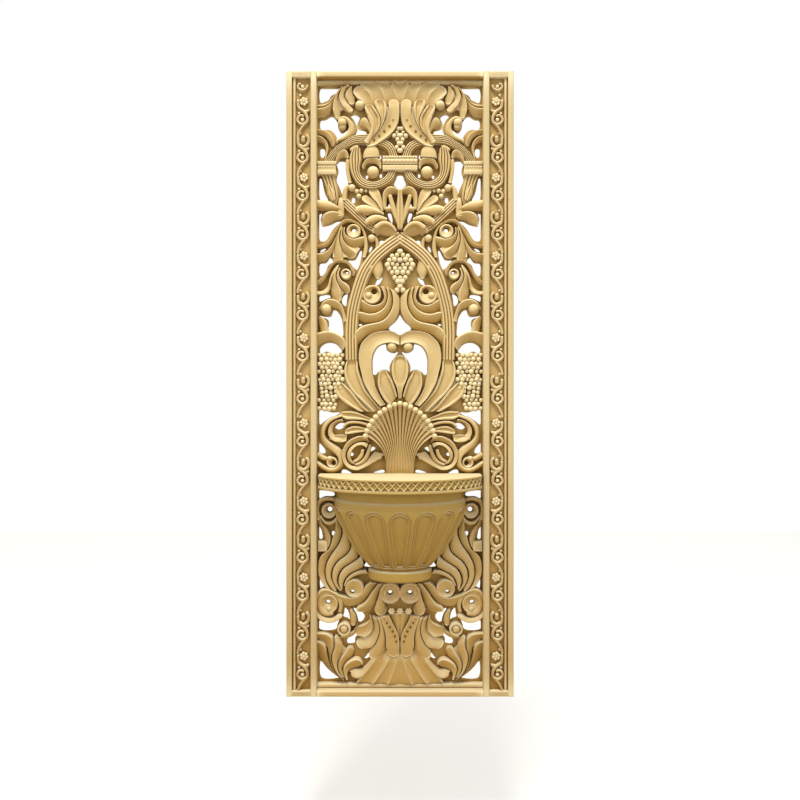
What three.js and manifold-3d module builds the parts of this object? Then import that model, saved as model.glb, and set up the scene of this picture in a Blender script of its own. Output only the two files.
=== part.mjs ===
// Stone relief panel for a wall, cast in four pieces: a pierced centre of scrolls, leaves and
// grapes between two rails, a vine border at either side, and a fluted bowl on the front.
//
// Millimetres, +Z up. The front faces -Y and the back is the plane y = 0. Heights on the panel
// are measured from its foot, distances across from its upright middle line, and `rise` is how
// far a surface stands off the back plane. The finished pieces are lowered so that the origin
// is the middle of the wall mount, on the back behind the bowl.
import * as THREE from 'three';
import Module from 'manifold-3d';
import { mergeVertices } from 'three/addons/utils/BufferGeometryUtils.js';

const wasm = await Module();
wasm.setup();

// ---------------------------------------------------------------- driving dimensions
const PANEL_WIDTH = 800;
const PANEL_HEIGHT = 2200;
const MOUNT_HEIGHT = 600; // wall mount above the foot of the panel
const JOINT = 0.3; // gap between two pieces

const FRAME_RISE = 80; // front of the outer band
const FILLET_RISE = 50; // front of the inner fillets of the rails
const GROUND = 28; // thickness of the pierced ground
const ROOT = GROUND; // the carving stands on the ground
const BAND = 20; // width of the outer band
const RAIL_FILLET = 16; // height of the inner fillets of the rails
const DEEPEST = 300; // further forward than any surface
const BORDER_INNER = 294; // where a border meets the centre
const MIDDLE_WIDTH = BORDER_INNER - JOINT;

const CHANNEL_RISE = 58; // ground of the vine channel
const CHANNEL = [315, 367]; // the channel's two sides
const BEAD = [368, 378]; // rounded moulding between channel and outer band
const BEAD_RISE = 70;
const VINE_RISE = 74;
const VINE_PERIOD = 140; // one swing of the stem
const VINE_FIRST = 137; // height of the lowest flower
const VINE_MIDDLE = 343;
const VINE_SWING = 17;
const VINE_ENDS = [32, 2176];
const STEM_HALF = 5;
const VINE_ROOT = 50; // flowers, buds and spirals stand from this rise
const VINE_FLOWER = 337; // how far across the flowers and buds stand
const VINE_SPIRAL = [345, -66]; // how far across the spirals stand, and how far under a flower

const BOWL_BACK = FILLET_RISE + JOINT;
const RIM_TOP = 783;
const RIM_HEIGHT = 46;
const RIM_HALF = [300, 232]; // plan of the rim: an ellipse, half width and depth
const RIM_END = 284; // where the rim's ends are cut square
const BOWL_TOP = 700;
const BOWL_FOOT = 412;
const BOWL_DEPTH_RATIO = 0.79; // depth of the bowl over its half width
const NECK_HALF = 226;
const FLUTE_SINK = 7;
const FLUTE_TOP = 650; // the flutes run between these heights
const FLUTE_END = 455;
const FLUTE_EDGE = 0.147; // half the angle that a flute takes, at its edge and at its floor
const FLUTE_FLOOR = 0.1;
const LATTICE = 21; // diamonds round the rim
const LATTICE_SINK = 7;

// The carving is laid out on a sheet a little smaller than the opening, and spread to fill it.
const SPREAD = 1.009;
const SPREAD_HEIGHT = 1100;

const FIELD_DEPTH = 13; // how deep the field of a rimmed leaf is sunk
const REED_DEPTH = 7; // how deep the grooves between reeds are
const FACE_SHARE = 0.88; // a strip's own width, over the width that it takes up
const BEND_STEP = 1.1; // a strip has a step for each of these angles that it bends by
const BEND_SAMPLES = 20;
const TIP_SHARE = 0.42; // width left at a strip's tip
const TIP_DROP = 8;
const BALL_SHOULDER = [0.78, 0.25]; // a ball's second ring: its width and its drop, over the radius
const GRAPE_DIP = 0.7; // depth between two grapes, over their pitch

const SHELL_FOLDS = 18;
const SHELL_FOOT = { half: 56, height: 784, rise: 52 };
const SHELL_LIP = { half: 124, fan: 1.45, height: 1036, drop: 116, fall: 1.3, lean: 62 };
const SHELL_FOLD_RISE = 9;

// ---------------------------------------------------------------- solids
/** Signed volume of a triangle mesh: negative when it is inside out. */
function signedVolume(positions, triangles) {
  const [a, b, c] = [new THREE.Vector3(), new THREE.Vector3(), new THREE.Vector3()];
  let sum = 0;
  for (let i = 0; i < triangles.length; i += 3) {
    a.fromArray(positions, triangles[i] * 3);
    b.fromArray(positions, triangles[i + 1] * 3);
    c.fromArray(positions, triangles[i + 2] * 3);
    sum += a.dot(b.cross(c)) / 6;
  }
  return sum;
}

/** A closed mesh, given as flat lists, as a solid with its faces pointing out. */
function solid(positions, triangles) {
  const turned = [...triangles];
  if (signedVolume(positions, triangles) < 0) turned.reverse();
  return new wasm.Manifold(new wasm.Mesh({
    numProp: 3,
    vertProperties: new Float32Array(positions),
    triVerts: new Uint32Array(turned),
  }));
}

/** A closed three.js geometry as a solid. */
function solidOf(geometry) {
  geometry.deleteAttribute('normal');
  geometry.deleteAttribute('uv');
  const merged = mergeVertices(geometry, 1e-3);
  const corners = [...merged.index.array];
  const triangles = [];
  for (let i = 0; i < corners.length; i += 3) {
    const face = corners.slice(i, i + 3);
    if (new Set(face).size === 3) triangles.push(...face);
  }
  return solid([...merged.attributes.position.array], triangles);
}

/** Joins a list of solids. */
function join(solids) {
  return wasm.Manifold.union(solids);
}

/** A solid with each of its points moved by `place(x, y, z)`. */
function reshaped(shape, place) {
  const { vertProperties, triVerts } = shape.getMesh();
  const positions = [];
  for (let i = 0; i < vertProperties.length; i += 3) {
    positions.push(...place(vertProperties[i], vertProperties[i + 1], vertProperties[i + 2]));
  }
  return solid(positions, [...triVerts]);
}

/** The mirror image across the upright middle line. */
function mirrored(shape) {
  return reshaped(shape, (x, y, z) => [-x, y, z]);
}

/** Triangles that fill a flat ring of points, whose first point has the index `first`. */
function lid(ring, first) {
  const points = ring.map((point) => new THREE.Vector3(...point));
  const facing = new THREE.Vector3();
  points.forEach((point, i) => facing.add(point.clone().cross(points[(i + 1) % points.length])));
  const across = new THREE.Vector3(-facing.z, 0, facing.x);
  if (across.lengthSq() < 1e-6 * facing.lengthSq()) across.set(1, 0, 0);
  const up = facing.clone().cross(across);
  const flat = points.map((point) => new THREE.Vector2(point.dot(across), point.dot(up)));
  const origin = flat[0].clone();
  const scale = 1 / Math.max(...flat.map((point) => point.distanceTo(origin)));
  flat.forEach((point) => point.sub(origin).multiplyScalar(scale));
  return THREE.ShapeUtils.triangulateShape(flat, []).flat().map((i) => i + first);
}

/**
 * Closes rings of points, all of one length, into a skin with a flat lid at either end.
 * Each four-sided patch is split along its falling diagonal, or the rising one where `rising`
 * says so for its ring and place.
 */
function skin(rings, rising = () => false) {
  const size = rings[0].length;
  const triangles = [];
  for (let i = 0; i + 1 < rings.length; i += 1) {
    for (let j = 0; j < size; j += 1) {
      const [a, b] = [i * size + j, i * size + ((j + 1) % size)];
      if (rising(i, j)) triangles.push(a, b, a + size, b, b + size, a + size);
      else triangles.push(a, b, b + size, a, b + size, a + size);
    }
  }
  const last = (rings.length - 1) * size;
  const near = lid(rings[0], 0);
  for (let i = 0; i < near.length; i += 3) triangles.push(near[i], near[i + 2], near[i + 1]);
  triangles.push(...lid(rings[rings.length - 1], last));
  return solid(rings.flat(2), triangles);
}

/** A block between two sides, two heights and two rises. */
function block([x0, x1], [z0, z1], rise, from = 0) {
  const box = new THREE.BoxGeometry(x1 - x0, rise - from, z1 - z0);
  box.translate((x0 + x1) / 2, -(rise + from) / 2, (z0 + z1) / 2);
  return solidOf(box);
}

/** A flat-topped prism with the given outline, standing on the back plane. */
function slab(outline, rise) {
  return skin([0, -rise].map((y) => outline.map(([x, z]) => [x, y, z])));
}

/** A round boss, turned from a profile of [radius, rise] points. */
function turned(x, z, profile, sides) {
  const points = profile.map(([radius, rise]) => new THREE.Vector2(radius, -rise));
  const lathe = new THREE.LatheGeometry(points, sides);
  lathe.rotateY(Math.PI / sides);
  lathe.translate(x, 0, z);
  return solidOf(lathe);
}

/** A ball half set in the ground. */
function ball(x, z, radius, rise) {
  const [wide, drop] = BALL_SHOULDER;
  const profile = [[0, ROOT], [radius, ROOT], [radius * wide, rise - radius * drop], [0, rise]];
  return turned(x, z, profile, 6);
}

// Cross sections of a carved strip, from edge to edge: [across, rise], for a full rise h.
const RIDGED = (h) => [[-1, ROOT], [0, h], [1, ROOT]];
const RIMMED = (h) => [[-1, ROOT], [-1, h], [0, h - FIELD_DEPTH], [1, h], [1, ROOT]];
/** A cross section of several reeds side by side. */
const reeded = (reeds) => (h) => {
  const points = [[-1, ROOT]];
  for (let i = 0; i <= reeds * 2; i += 1) {
    points.push([-1 + i / reeds, i % 2 ? h : h - REED_DEPTH]);
  }
  return [...points, [1, ROOT]];
};

/** The value at `t` along an evenly spaced list, or the number itself. */
function along(values, t) {
  if (typeof values === 'number') return values;
  const place = t * (values.length - 1);
  const i = Math.min(Math.floor(place), values.length - 2);
  return THREE.MathUtils.lerp(values[i], values[i + 1], place - i);
}

/**
 * A carved strip that follows a bent line, flat at the back.
 * `spine` holds [across, height] points from root to tip, `halfWidth` and `rise` are numbers or
 * lists spread along it, and `section` gives its cut. The tip is rounded off.
 */
function strip(spine, halfWidth, rise, section = RIDGED, blunt = false) {
  const points = spine.map(([x, z]) => new THREE.Vector3(x, 0, z));
  const curve = new THREE.CatmullRomCurve3(points, false, 'centripetal');
  const length = curve.getLength();
  let bend = 0;
  for (let i = 0; i < BEND_SAMPLES; i += 1) {
    const [here, next] = [i, i + 1].map((step) => curve.getTangentAt(step / BEND_SAMPLES));
    bend += here.angleTo(next);
  }
  const steps = Math.max(1, Math.round(bend / BEND_STEP) + 1);
  const tip = blunt ? 0 : Math.min(0.5, along(halfWidth, 1) / length);
  const stations = [];
  for (let i = 0; i <= steps; i += 1) stations.push([(i / steps) * (1 - tip), 1]);
  if (tip) stations.push([1, TIP_SHARE]);
  return skin(stations.map(([t, full]) => {
    const at = curve.getPointAt(t);
    const way = curve.getTangentAt(t);
    const half = along(halfWidth, t) * full * FACE_SHARE;
    const height = along(rise, t) - (1 - full) * TIP_DROP;
    return section(height).map(([across, up]) => [
      at.x - way.z * across * half, -up, at.z + way.x * across * half,
    ]);
  }));
}

// ---------------------------------------------------------------- the carving, right half
/** Gadroons of the shell behind the crest, and the drilled leaf in front of them. */
function crest() {
  return [
    strip([[16, 2088], [30, 2120], [46, 2150]], [8, 21], [46, 60]),
    strip([[45, 2078], [70, 2112], [97, 2146]], [9, 24], [46, 60]),
    strip([[92, 2074], [122, 2106], [152, 2134]], [12, 21], [46, 58]),
    strip([[16, 2098], [22, 2050], [35, 2010], [70, 1975], [128, 1940]], [13, 18, 15], 64),
    strip([[58, 1990], [66, 2040], [73, 2096]], [12, 21], 66),
    strip([[75, 1985], [96, 2025], [108, 2070]], [10, 20], 62),
  ];
}

/** The sweep of long lobes that fills the top corner. */
function cornerSweep() {
  return [
    strip([[294, 2061], [255, 2072], [230, 2108], [196, 2147]], [22, 12, 6], 58),
    strip([[200, 2140], [220, 2100], [214, 2042]], [4, 14, 22], 60),
    strip([[176, 2140], [191, 2106], [170, 2064]], [6, 14, 18], 64),
    ball(141, 2078, 17, 66),
    strip([[213, 2037], [196, 2044], [173, 2022], [166, 1995], [180, 1974], [213, 1952]],
      [7, 11, 13], 56),
    ball(202, 2017, 17, 64),
  ];
}

/** The reeded sweep under the crest, its collar, and the stems that run to the border. */
function collar() {
  return [
    strip([[112, 1960], [170, 1955], [216, 1928], [246, 1880]], [18, 22], 60),
    block([224, 290], [1836, 1878], 64),
    strip([[258, 1838], [243, 1790], [222, 1726]], [30, 18, 12], 54),
    strip([[294, 1978], [262, 1975], [240, 1945]], [14, 12, 10], 52),
  ];
}

/** The pair of reeded volutes that the middle tie holds together. */
function upperVolutes() {
  return [
    strip([[150, 1932], [163, 1872], [150, 1822], [105, 1800], [55, 1823], [20, 1850]],
      [19, 19, 11], 60),
    strip([[172, 1825], [178, 1885], [193, 1910], [221, 1903]], [12, 13, 14], 54),
    strip([[60, 1925], [100, 1922], [129, 1893]], [12, 16], 60),
    ball(95, 1848, 21, 62),
  ];
}

/** The flower on the middle line, the leaves that spread from it, and the crossing reeds. */
function flower() {
  return [
    strip([[197, 1742], [140, 1690], [85, 1645], [25, 1606]], 17, 50, reeded(2), true),
    strip([[50, 1715], [51, 1765], [32, 1789], [10, 1784]], [10, 15, 12], 60),
    strip([[48, 1702], [75, 1745], [94, 1787]], [8, 12, 16], 58),
    strip([[52, 1698], [95, 1735], [127, 1760]], [8, 11, 16], 56),
    strip([[45, 1690], [100, 1705], [148, 1716]], [8, 14, 18], 60),
    strip([[195, 1748], [189, 1790], [172, 1800]], [7, 10, 11], 54),
    strip([[294, 1733], [250, 1728], [210, 1714]], [20, 20, 12], 58),
  ];
}

/** The two shell-like scrolls at the side of the arch. */
function sideScrolls() {
  return [
    strip([[118, 1545], [111, 1610], [126, 1657], [172, 1684], [220, 1670], [252, 1625],
      [266, 1602], [294, 1596]], [9, 9, 8], 56),
    strip([[294, 1551], [268, 1556], [248, 1592], [230, 1640], [197, 1672]], [13, 12, 6], 58),
    strip([[200, 1660], [216, 1612], [205, 1575], [168, 1556]], [5, 17, 22], 62),
    strip([[186, 1660], [196, 1625], [175, 1600], [138, 1592]], [5, 11, 14], 62),
    ball(163, 1639, 24, 60),
    strip([[294, 1455], [265, 1465], [240, 1505], [212, 1531], [185, 1529], [162, 1490]],
      [7, 9, 6], 54),
    strip([[294, 1425], [265, 1432], [250, 1470], [225, 1515], [196, 1530]], [12, 10, 5], 56),
    strip([[215, 1512], [237, 1460], [233, 1420], [210, 1390]], [4, 12, 15], 58),
    ball(187, 1492, 18, 58),
  ];
}

/** One arm of the reeded gothic arch and the small lobes inside it. */
function arch() {
  return [
    strip([[-6, 1618], [45, 1583], [88, 1545], [125, 1490], [150, 1420], [166, 1350], [171, 1280],
      [170, 1186]], 22, 62, reeded(2), true),
  ];
}

/** The double scroll under the arch, wound round a ball. */
function owlScroll() {
  return [
    strip([[60, 1446], [45, 1408], [62, 1376], [100, 1366], [148, 1380]], [10, 13, 11], 54),
    strip([[40, 1446], [23, 1390], [52, 1345], [100, 1330], [150, 1342]], [9, 14, 14], 58),
    strip([[6, 1432], [8, 1370], [48, 1320], [100, 1296], [150, 1266]], [8, 13, 17], 62),
    ball(103, 1403, 19, 60),
  ];
}

/** The heart, its ball, and the arms and hook that reach the border beside it. */
function heart() {
  return [
    strip([[4, 1246], [40, 1268], [82, 1254], [112, 1212], [118, 1160], [104, 1100], [74, 1028]],
      [12, 16, 20, 21, 15], 66, RIMMED, true),
    ball(28, 1232, 17, 66),
    strip([[294, 1248], [268, 1266], [235, 1262], [192, 1230]], [11, 12, 10], 54),
    strip([[184, 1322], [202, 1370], [235, 1392], [272, 1388]], [9, 12, 10], 58),
    ball(263, 1365, 22, 62),
  ];
}

/** The broad leaves of the palmette, beside its middle one. */
function palmette() {
  return [
    strip([[15, 1034], [38, 1090], [62, 1146]], [17, 23, 21], 60, RIMMED),
    strip([[74, 1000], [122, 1082], [169, 1188]], [12, 20, 24], 62, RIMMED),
    strip([[80, 992], [140, 1040], [212, 1099]], [10, 19, 20], 58, RIMMED),
    strip([[106, 950], [150, 946], [192, 934]], [8, 14, 15], 56),
  ];
}

/** The scrolls on either side of the standing shell. */
function lowerScrolls() {
  return [
    strip([[203, 988], [245, 976], [268, 945], [272, 905], [250, 873], [216, 845], [207, 815]],
      [9, 11, 10], 56),
    strip([[190, 965], [226, 975], [250, 945], [245, 905], [215, 890], [180, 918]], [8, 12, 9], 58),
    ball(240, 823, 35, 54),
    strip([[108, 908], [150, 911], [186, 890], [200, 850], [195, 815], [160, 790], [110, 798],
      [56, 834]], [10, 13, 10], 58),
    strip([[125, 895], [155, 890], [178, 862], [176, 832], [150, 819], [128, 832], [110, 872]],
      [7, 11, 7], 56),
  ];
}

/** The leaves and scrolls that wrap the lower side of the bowl. */
function swirls() {
  return [
    ball(252, 657, 34, 54),
    block([258, 290], [512, 546], 52),
    strip([[225, 642], [211, 590], [216, 540], [246, 500], [275, 460], [281, 420], [256, 384],
      [210, 364]], [12, 16, 17, 12], 58),
    strip([[204, 554], [225, 508], [250, 470], [258, 430], [246, 396], [213, 372]], [9, 13, 8], 60),
    strip([[177, 563], [181, 530], [210, 490], [238, 450], [240, 410], [220, 378]], [7, 13, 8], 61),
    strip([[150, 514], [166, 480], [205, 450], [222, 415], [210, 380]], [8, 13, 8], 62),
    ball(160, 385, 31, 60),
  ];
}

/** The scrolls, volutes and small flowers under the bowl. */
function footScrolls() {
  return [
    strip([[92, 397], [150, 350], [200, 350], [245, 376], [280, 362], [290, 330], [284, 290],
      [250, 268], [212, 286]], [14, 16, 13, 11], 60),
    ball(252, 334, 24, 54),
    strip([[84, 398], [100, 355], [123, 312]], [10, 16, 13], 62),
    strip([[58, 398], [77, 350], [70, 300]], [12, 19, 18], 64),
    turned(35, 363, [[0, ROOT], [31, ROOT], [22, 54], [17, 48], [8, 66], [0, 66]], 6),
    ball(195, 243, 20, 62),
  ];
}

/** The hanging leaf under the bowl, the scrolling leaf of the corner and the fan at the foot. */
function footLeaves() {
  return [
    strip([[46, 290], [34, 220], [22, 158]], [13, 20, 21], 62),
    strip([[70, 284], [60, 222], [77, 166]], [8, 15, 19], 60),
    strip([[95, 274], [80, 222], [122, 183]], [7, 15, 18], 58),
    strip([[202, 60], [240, 112], [252, 160], [270, 202], [296, 214]], [8, 14, 16], 56),
    strip([[190, 72], [225, 112], [217, 160], [213, 210]], [8, 14, 12], 58),
    strip([[188, 78], [209, 112], [190, 150], [154, 175]], [6, 13, 12], 58),
    strip([[190, 88], [181, 122], [150, 132], [128, 115], [140, 94]], [11, 14, 10], 62),
    strip([[170, 88], [150, 66], [120, 78], [92, 112], [68, 150]], [9, 12, 9], 56),
    strip([[24, 148], [40, 95], [66, 50]], [10, 18, 25], 54),
    strip([[50, 148], [78, 95], [118, 50]], [12, 18, 24], 58),
  ];
}

/** What stands on the middle line itself. */
function middleLine() {
  const tie = [[1853, 1868, 62], [1871, 1888, 68], [1891, 1900, 62]];
  return [
    strip([[0, 2080], [0, 2150]], [10, 23], [46, 60]),
    ...tie.map(([low, high, rise]) => block([-61, 61], [low, high], rise)),
    strip([[0, 1640], [0, 1710], [0, 1782]], [9, 13, 7], 70),
    strip([[0, 1030], [0, 1120], [0, 1209]], [25, 27, 23], 66, RIMMED),
    strip([[0, 294], [0, 204]], [38, 5], 60),
    ball(0, 294, 10, 58),
    strip([[0, 150], [0, 100], [0, 48]], [11, 22, 36], 60),
    standingShell(),
  ];
}

/**
 * A bunch of grapes: a bed of points that stand high and low by turns, between two heights.
 * `sides` gives the inner and outer edge of the bunch at a height.
 */
function grapes([low, high], sides, pitch, rise) {
  const rows = Math.round((high - low) / pitch);
  const rings = [];
  const widest = Math.max(...[0, 0.25, 0.5, 0.75, 1].map((t) => {
    const [inner, outer] = sides(THREE.MathUtils.lerp(low, high, t));
    return outer - inner;
  }));
  const columns = Math.round(widest / pitch);
  for (let row = 0; row <= rows; row += 1) {
    const z = THREE.MathUtils.lerp(low, high, row / rows);
    const [inner, outer] = sides(z);
    const ring = [[outer, -ROOT, z], [inner, -ROOT, z]];
    for (let i = 0; i <= columns; i += 1) {
      const up = rise - ((row + i) % 2 ? pitch * GRAPE_DIP : 0);
      ring.push([THREE.MathUtils.lerp(inner, outer, i / columns), -up, z]);
    }
    rings.push(ring);
  }
  return skin(rings, (row, i) => (row + i) % 2 === 1);
}

/** The large bunch inside the arch and the one that hangs beside the heart. */
function bunches() {
  const { clamp, lerp } = THREE.MathUtils;
  const large = (z) => [-1, z > 1525 ? 2 + (1580 - z) * 1.05 : 10 + (z - 1425) * 0.52];
  const side = (z) => [lerp(224, 204, clamp((z - 1020) / 60, 0, 1)), 286];
  return [
    grapes([1426, 1578], large, 21, 60),
    grapes([1020, 1210], side, 21, 56),
  ];
}

/** The shell that stands on the rim of the bowl: folds that fan out and lean forward. */
function standingShell() {
  const rows = [0, 0.45, 1];
  return skin(rows.map((t) => {
    const ring = [];
    for (let i = 0; i <= SHELL_FOLDS; i += 1) {
      const turn = (i / SHELL_FOLDS) * 2 - 1;
      const foot = [SHELL_FOOT.half * turn, SHELL_FOOT.height];
      const tip = [
        SHELL_LIP.half * Math.sin(turn * SHELL_LIP.fan),
        SHELL_LIP.height - SHELL_LIP.drop * Math.abs(turn) ** SHELL_LIP.fall,
      ];
      const rise = SHELL_FOOT.rise + SHELL_LIP.lean * t * t + (i % 2 ? SHELL_FOLD_RISE : 0);
      ring.push([
        THREE.MathUtils.lerp(foot[0], tip[0], t ** 1.5), -rise,
        THREE.MathUtils.lerp(foot[1], tip[1], t),
      ]);
    }
    const [first, last] = [ring[0], ring[SHELL_FOLDS]];
    return [...ring, [last[0], -ROOT, last[2]], [first[0], -ROOT, first[2]]];
  }));
}

// ---------------------------------------------------------------- the ground and its piercings
// Outlines of the openings of the right half, as [across, height] corners.
const PIERCINGS = {
  corner: [[284, 2148], [208, 2148], [228, 2126], [262, 2100], [284, 2094]],
  aboveHook: [[284, 2034], [242, 2048], [220, 2024], [205, 1990], [187, 2000], [190, 1980],
    [222, 1957], [228, 1978], [250, 1997], [284, 2002]],
  besideCrest: [[176, 2048], [160, 2055], [142, 2044], [153, 2012], [118, 1990], [158, 1982]],
  besideVolute: [[225, 1885], [189, 1886], [182, 1820], [197, 1765], [213, 1790], [227, 1825]],
  borderLong: [[284, 1830], [278, 1828], [265, 1775], [254, 1742], [284, 1750]],
  tieFoot: [[-12, 1838], [12, 1838], [23, 1805], [0, 1776], [-23, 1805]],
  overScroll: [[286, 1703], [276, 1702], [280, 1680], [268, 1660], [208, 1677], [238, 1645],
    [262, 1606], [284, 1606]],
  scrollFoot: [[184, 1539], [160, 1540], [136, 1575], [139, 1535], [153, 1502], [178, 1524]],
  betweenScrolls: [[284, 1525], [262, 1530], [247, 1549], [234, 1533], [262, 1498], [284, 1482]],
  hookSide: [[235, 1363], [222, 1358], [203, 1325], [201, 1268], [210, 1266], [258, 1290],
    [255, 1325], [282, 1334], [262, 1340], [242, 1340]],
  underArm: [[285, 1230], [265, 1246], [245, 1247], [205, 1213], [255, 1217], [285, 1207]],
  underScroll: [[-14, 1325], [0, 1346], [14, 1325], [41, 1296], [0, 1271], [-41, 1296]],
  heart: [[48, 1237], [68, 1235], [92, 1205], [97, 1165], [90, 1134], [74, 1148], [42, 1146],
    [35, 1180], [12, 1212], [42, 1214]],
  grapeFoot: [[285, 1011], [266, 1010], [214, 998], [245, 973], [285, 950]],
  scrollTop: [[226, 945], [215, 959], [192, 961], [207, 936]],
  neck: [[287, 724], [234, 716], [234, 698], [265, 697], [287, 685]],
  swirlSide: [[285, 597], [278, 592], [271, 552], [285, 546]],
  swirlFoot: [[282, 418], [262, 385], [282, 370]],
  besideStalk: [[163, 307], [145, 300], [124, 276], [131, 259], [143, 258], [150, 285]],
  overCorner: [[281, 263], [218, 265], [226, 228], [281, 232]],
  underBall: [[185, 182], [186, 195], [155, 220], [145, 213], [157, 182]],
  cornerFoot: [[280, 123], [274, 123], [240, 80], [210, 58], [280, 58]],
};
const EYES = [[165, 1641, 9], [172, 851, 9], [248, 657, 11], [253, 331, 10]];
// An opening, over its outline above, at the carved face of the ground and at the back.
const DRAFT = [1.009, 1.018];
const OPENING_LIMIT = 287; // no opening reaches further across than this

/** The openings of the right half, cut with draft so that they widen towards the back. */
function piercings() {
  const cutter = (outline) => skin([[DRAFT[0], -GROUND - 1], [DRAFT[1], 1]].map(
    ([scale, y]) => outline.map(([x, z]) => [
      Math.min(x * scale, OPENING_LIMIT), y, SPREAD_HEIGHT + (z - SPREAD_HEIGHT) * scale,
    ]),
  ));
  const eye = ([x, z, radius]) => [0, 1, 2, 3, 4].map((i) => [
    x + radius * Math.sin(i * Math.PI * 0.4), z + radius * Math.cos(i * Math.PI * 0.4),
  ]);
  return [...Object.values(PIERCINGS), ...EYES.map(eye)].map(cutter);
}

/** Spreads a solid from the layout sheet to the size of the opening. */
function spread(shape) {
  return reshaped(shape, (x, y, z) => [
    x * SPREAD, y, SPREAD_HEIGHT + (z - SPREAD_HEIGHT) * SPREAD,
  ]);
}

/** The pierced centre with its rails and the plain ground that the bowl is fixed to. */
function makeOpenwork() {
  const half = join([
    ...crest(), ...cornerSweep(), ...collar(), ...upperVolutes(), ...flower(), ...sideScrolls(),
    ...arch(), ...owlScroll(), ...heart(), ...palmette(), ...lowerScrolls(), ...swirls(),
    ...footScrolls(), ...footLeaves(), ...bunches(),
  ]);
  const holes = join(piercings());
  const sheet = [[-BORDER_INNER - BAND, BORDER_INNER + BAND], [-BAND, PANEL_HEIGHT + BAND]];
  const ground = block(...sheet, GROUND).subtract(join([holes, mirrored(holes)]));
  const carving = spread(join([ground, half, mirrored(half), ...middleLine()]));
  const across = [-MIDDLE_WIDTH, MIDDLE_WIDTH];
  const field = [BAND + 2, PANEL_HEIGHT - BAND - 2];
  const rails = [
    block(across, [0, BAND], FRAME_RISE),
    block(across, [BAND - 1, BAND + RAIL_FILLET], FILLET_RISE),
    block(across, [PANEL_HEIGHT - BAND - RAIL_FILLET, PANEL_HEIGHT - BAND + 1], FILLET_RISE),
    block(across, [PANEL_HEIGHT - BAND, PANEL_HEIGHT], FRAME_RISE),
  ];
  const backing = slab(bowlOutline(6), FILLET_RISE);
  return join([carving.intersect(block(across, field, DEEPEST, -1)), ...rails, backing])
    .subtract(bowlBlock(JOINT));
}

// ---------------------------------------------------------------- borders
/** The right border: a moulded stile with a vine winding up its channel. */
function makeBorder() {
  const inner = BORDER_INNER + JOINT;
  const outer = PANEL_WIDTH / 2;
  const full = [0, PANEL_HEIGHT];
  const parts = [
    block([inner, outer], full, CHANNEL_RISE),
    block([inner, CHANNEL[0]], full, FRAME_RISE),
    block([outer - BAND, outer], full, FRAME_RISE),
    block(BEAD, full, BEAD_RISE),
    block([inner, outer], [0, BAND + 2], FRAME_RISE),
    block([inner, outer], [PANEL_HEIGHT - BAND, PANEL_HEIGHT], FRAME_RISE),
  ];
  const [low, high] = VINE_ENDS;
  const stem = [];
  for (let z = low; z < high; z += VINE_PERIOD / 4) {
    const turn = (z - VINE_FIRST) / VINE_PERIOD;
    stem.push([VINE_MIDDLE + VINE_SWING * Math.cos(turn * 2 * Math.PI), z]);
  }
  parts.push(vineStem(stem));
  const count = Math.floor((high - VINE_FIRST) / VINE_PERIOD);
  for (let i = 0; i <= count; i += 1) {
    const z = VINE_FIRST + i * VINE_PERIOD;
    const flowerBoss = [
      [0, VINE_ROOT], [17, VINE_ROOT], [13, VINE_RISE - 2], [0, VINE_RISE + 2],
    ];
    const bud = [[0, VINE_ROOT], [14, VINE_ROOT], [0, VINE_RISE + 2]];
    const spiral = [[0, VINE_ROOT], [12, VINE_ROOT], [0, VINE_RISE]];
    parts.push(turned(VINE_FLOWER, z, i % 2 ? bud : flowerBoss, 6));
    parts.push(turned(VINE_SPIRAL[0], z + VINE_SPIRAL[1], spiral, 5));
  }
  return join(parts);
}

/** The vine's stem: a three-sided strip through the given points. */
function vineStem(points) {
  return skin(points.map(([x, z]) => [
    [x - STEM_HALF, -CHANNEL_RISE + 2, z], [x, -VINE_RISE, z],
    [x + STEM_HALF, -CHANNEL_RISE + 2, z],
  ]));
}

// ---------------------------------------------------------------- bowl
// Half width of the bowl at a height, from the shoulder down.
const BOWL_PROFILE = [[698, 222], [690, 233], [662, 234], [632, 225], [580, 196], [520, 161],
  [474, 120], [452, 98]];
const FOOT_PROFILE = [[448, 112], [424, 114], [BOWL_FOOT, 104]];

const EVEN_TURNS = Array.from({ length: 25 }, (_, i) => (i / 24) * Math.PI);

/**
 * One level of the bowl: half an ellipse whose ends lie on the plane of the bowl's back.
 * `turns` are the angles of its points, and `sink(i)` pushes the i-th of them inwards.
 */
function bowlLevel(z, half, depth, turns, sink = () => 0) {
  return turns.map((turn, i) => {
    const inward = 1 - sink(i) / half;
    return [-half * inward * Math.cos(turn), -BOWL_BACK - depth * inward * Math.sin(turn), z];
  });
}

/** The outline of the bowl's back with its rim, shrunk by a margin. */
function bowlOutline(margin) {
  const side = [...BOWL_PROFILE, ...FOOT_PROFILE].map(([z, half]) => [half - margin, z]);
  const rim = [RIM_TOP - margin, RIM_TOP - RIM_HEIGHT + margin].map((z) => [RIM_END - margin, z]);
  const right = [...rim, [NECK_HALF - margin, rim[1][1]], ...side];
  const left = right.map(([x, z]) => [-x, z]).reverse();
  return [...right, ...left];
}

/** The plain bowl, neck, foot and rim as one block, grown all over by a margin. */
function bowlBlock(margin) {
  const level = (z, half, depth) => bowlLevel(z, half + margin, depth + 2 * margin, EVEN_TURNS)
    .map(([x, y, height]) => [x, y + margin, height]);
  const neck = [[RIM_TOP - 20, NECK_HALF], [BOWL_TOP - 2, NECK_HALF]];
  const body = [...neck, ...BOWL_PROFILE, ...FOOT_PROFILE.slice(0, -1), [BOWL_FOOT - margin, 104]];
  const rings = body.map(([z, half]) => level(z, half, half * BOWL_DEPTH_RATIO));
  const rim = [RIM_TOP + margin, RIM_TOP - RIM_HEIGHT - margin].map((z) => level(z, ...RIM_HALF));
  return join([skin(rings), skin(rim).intersect(rimEnds(margin))]);
}

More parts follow.
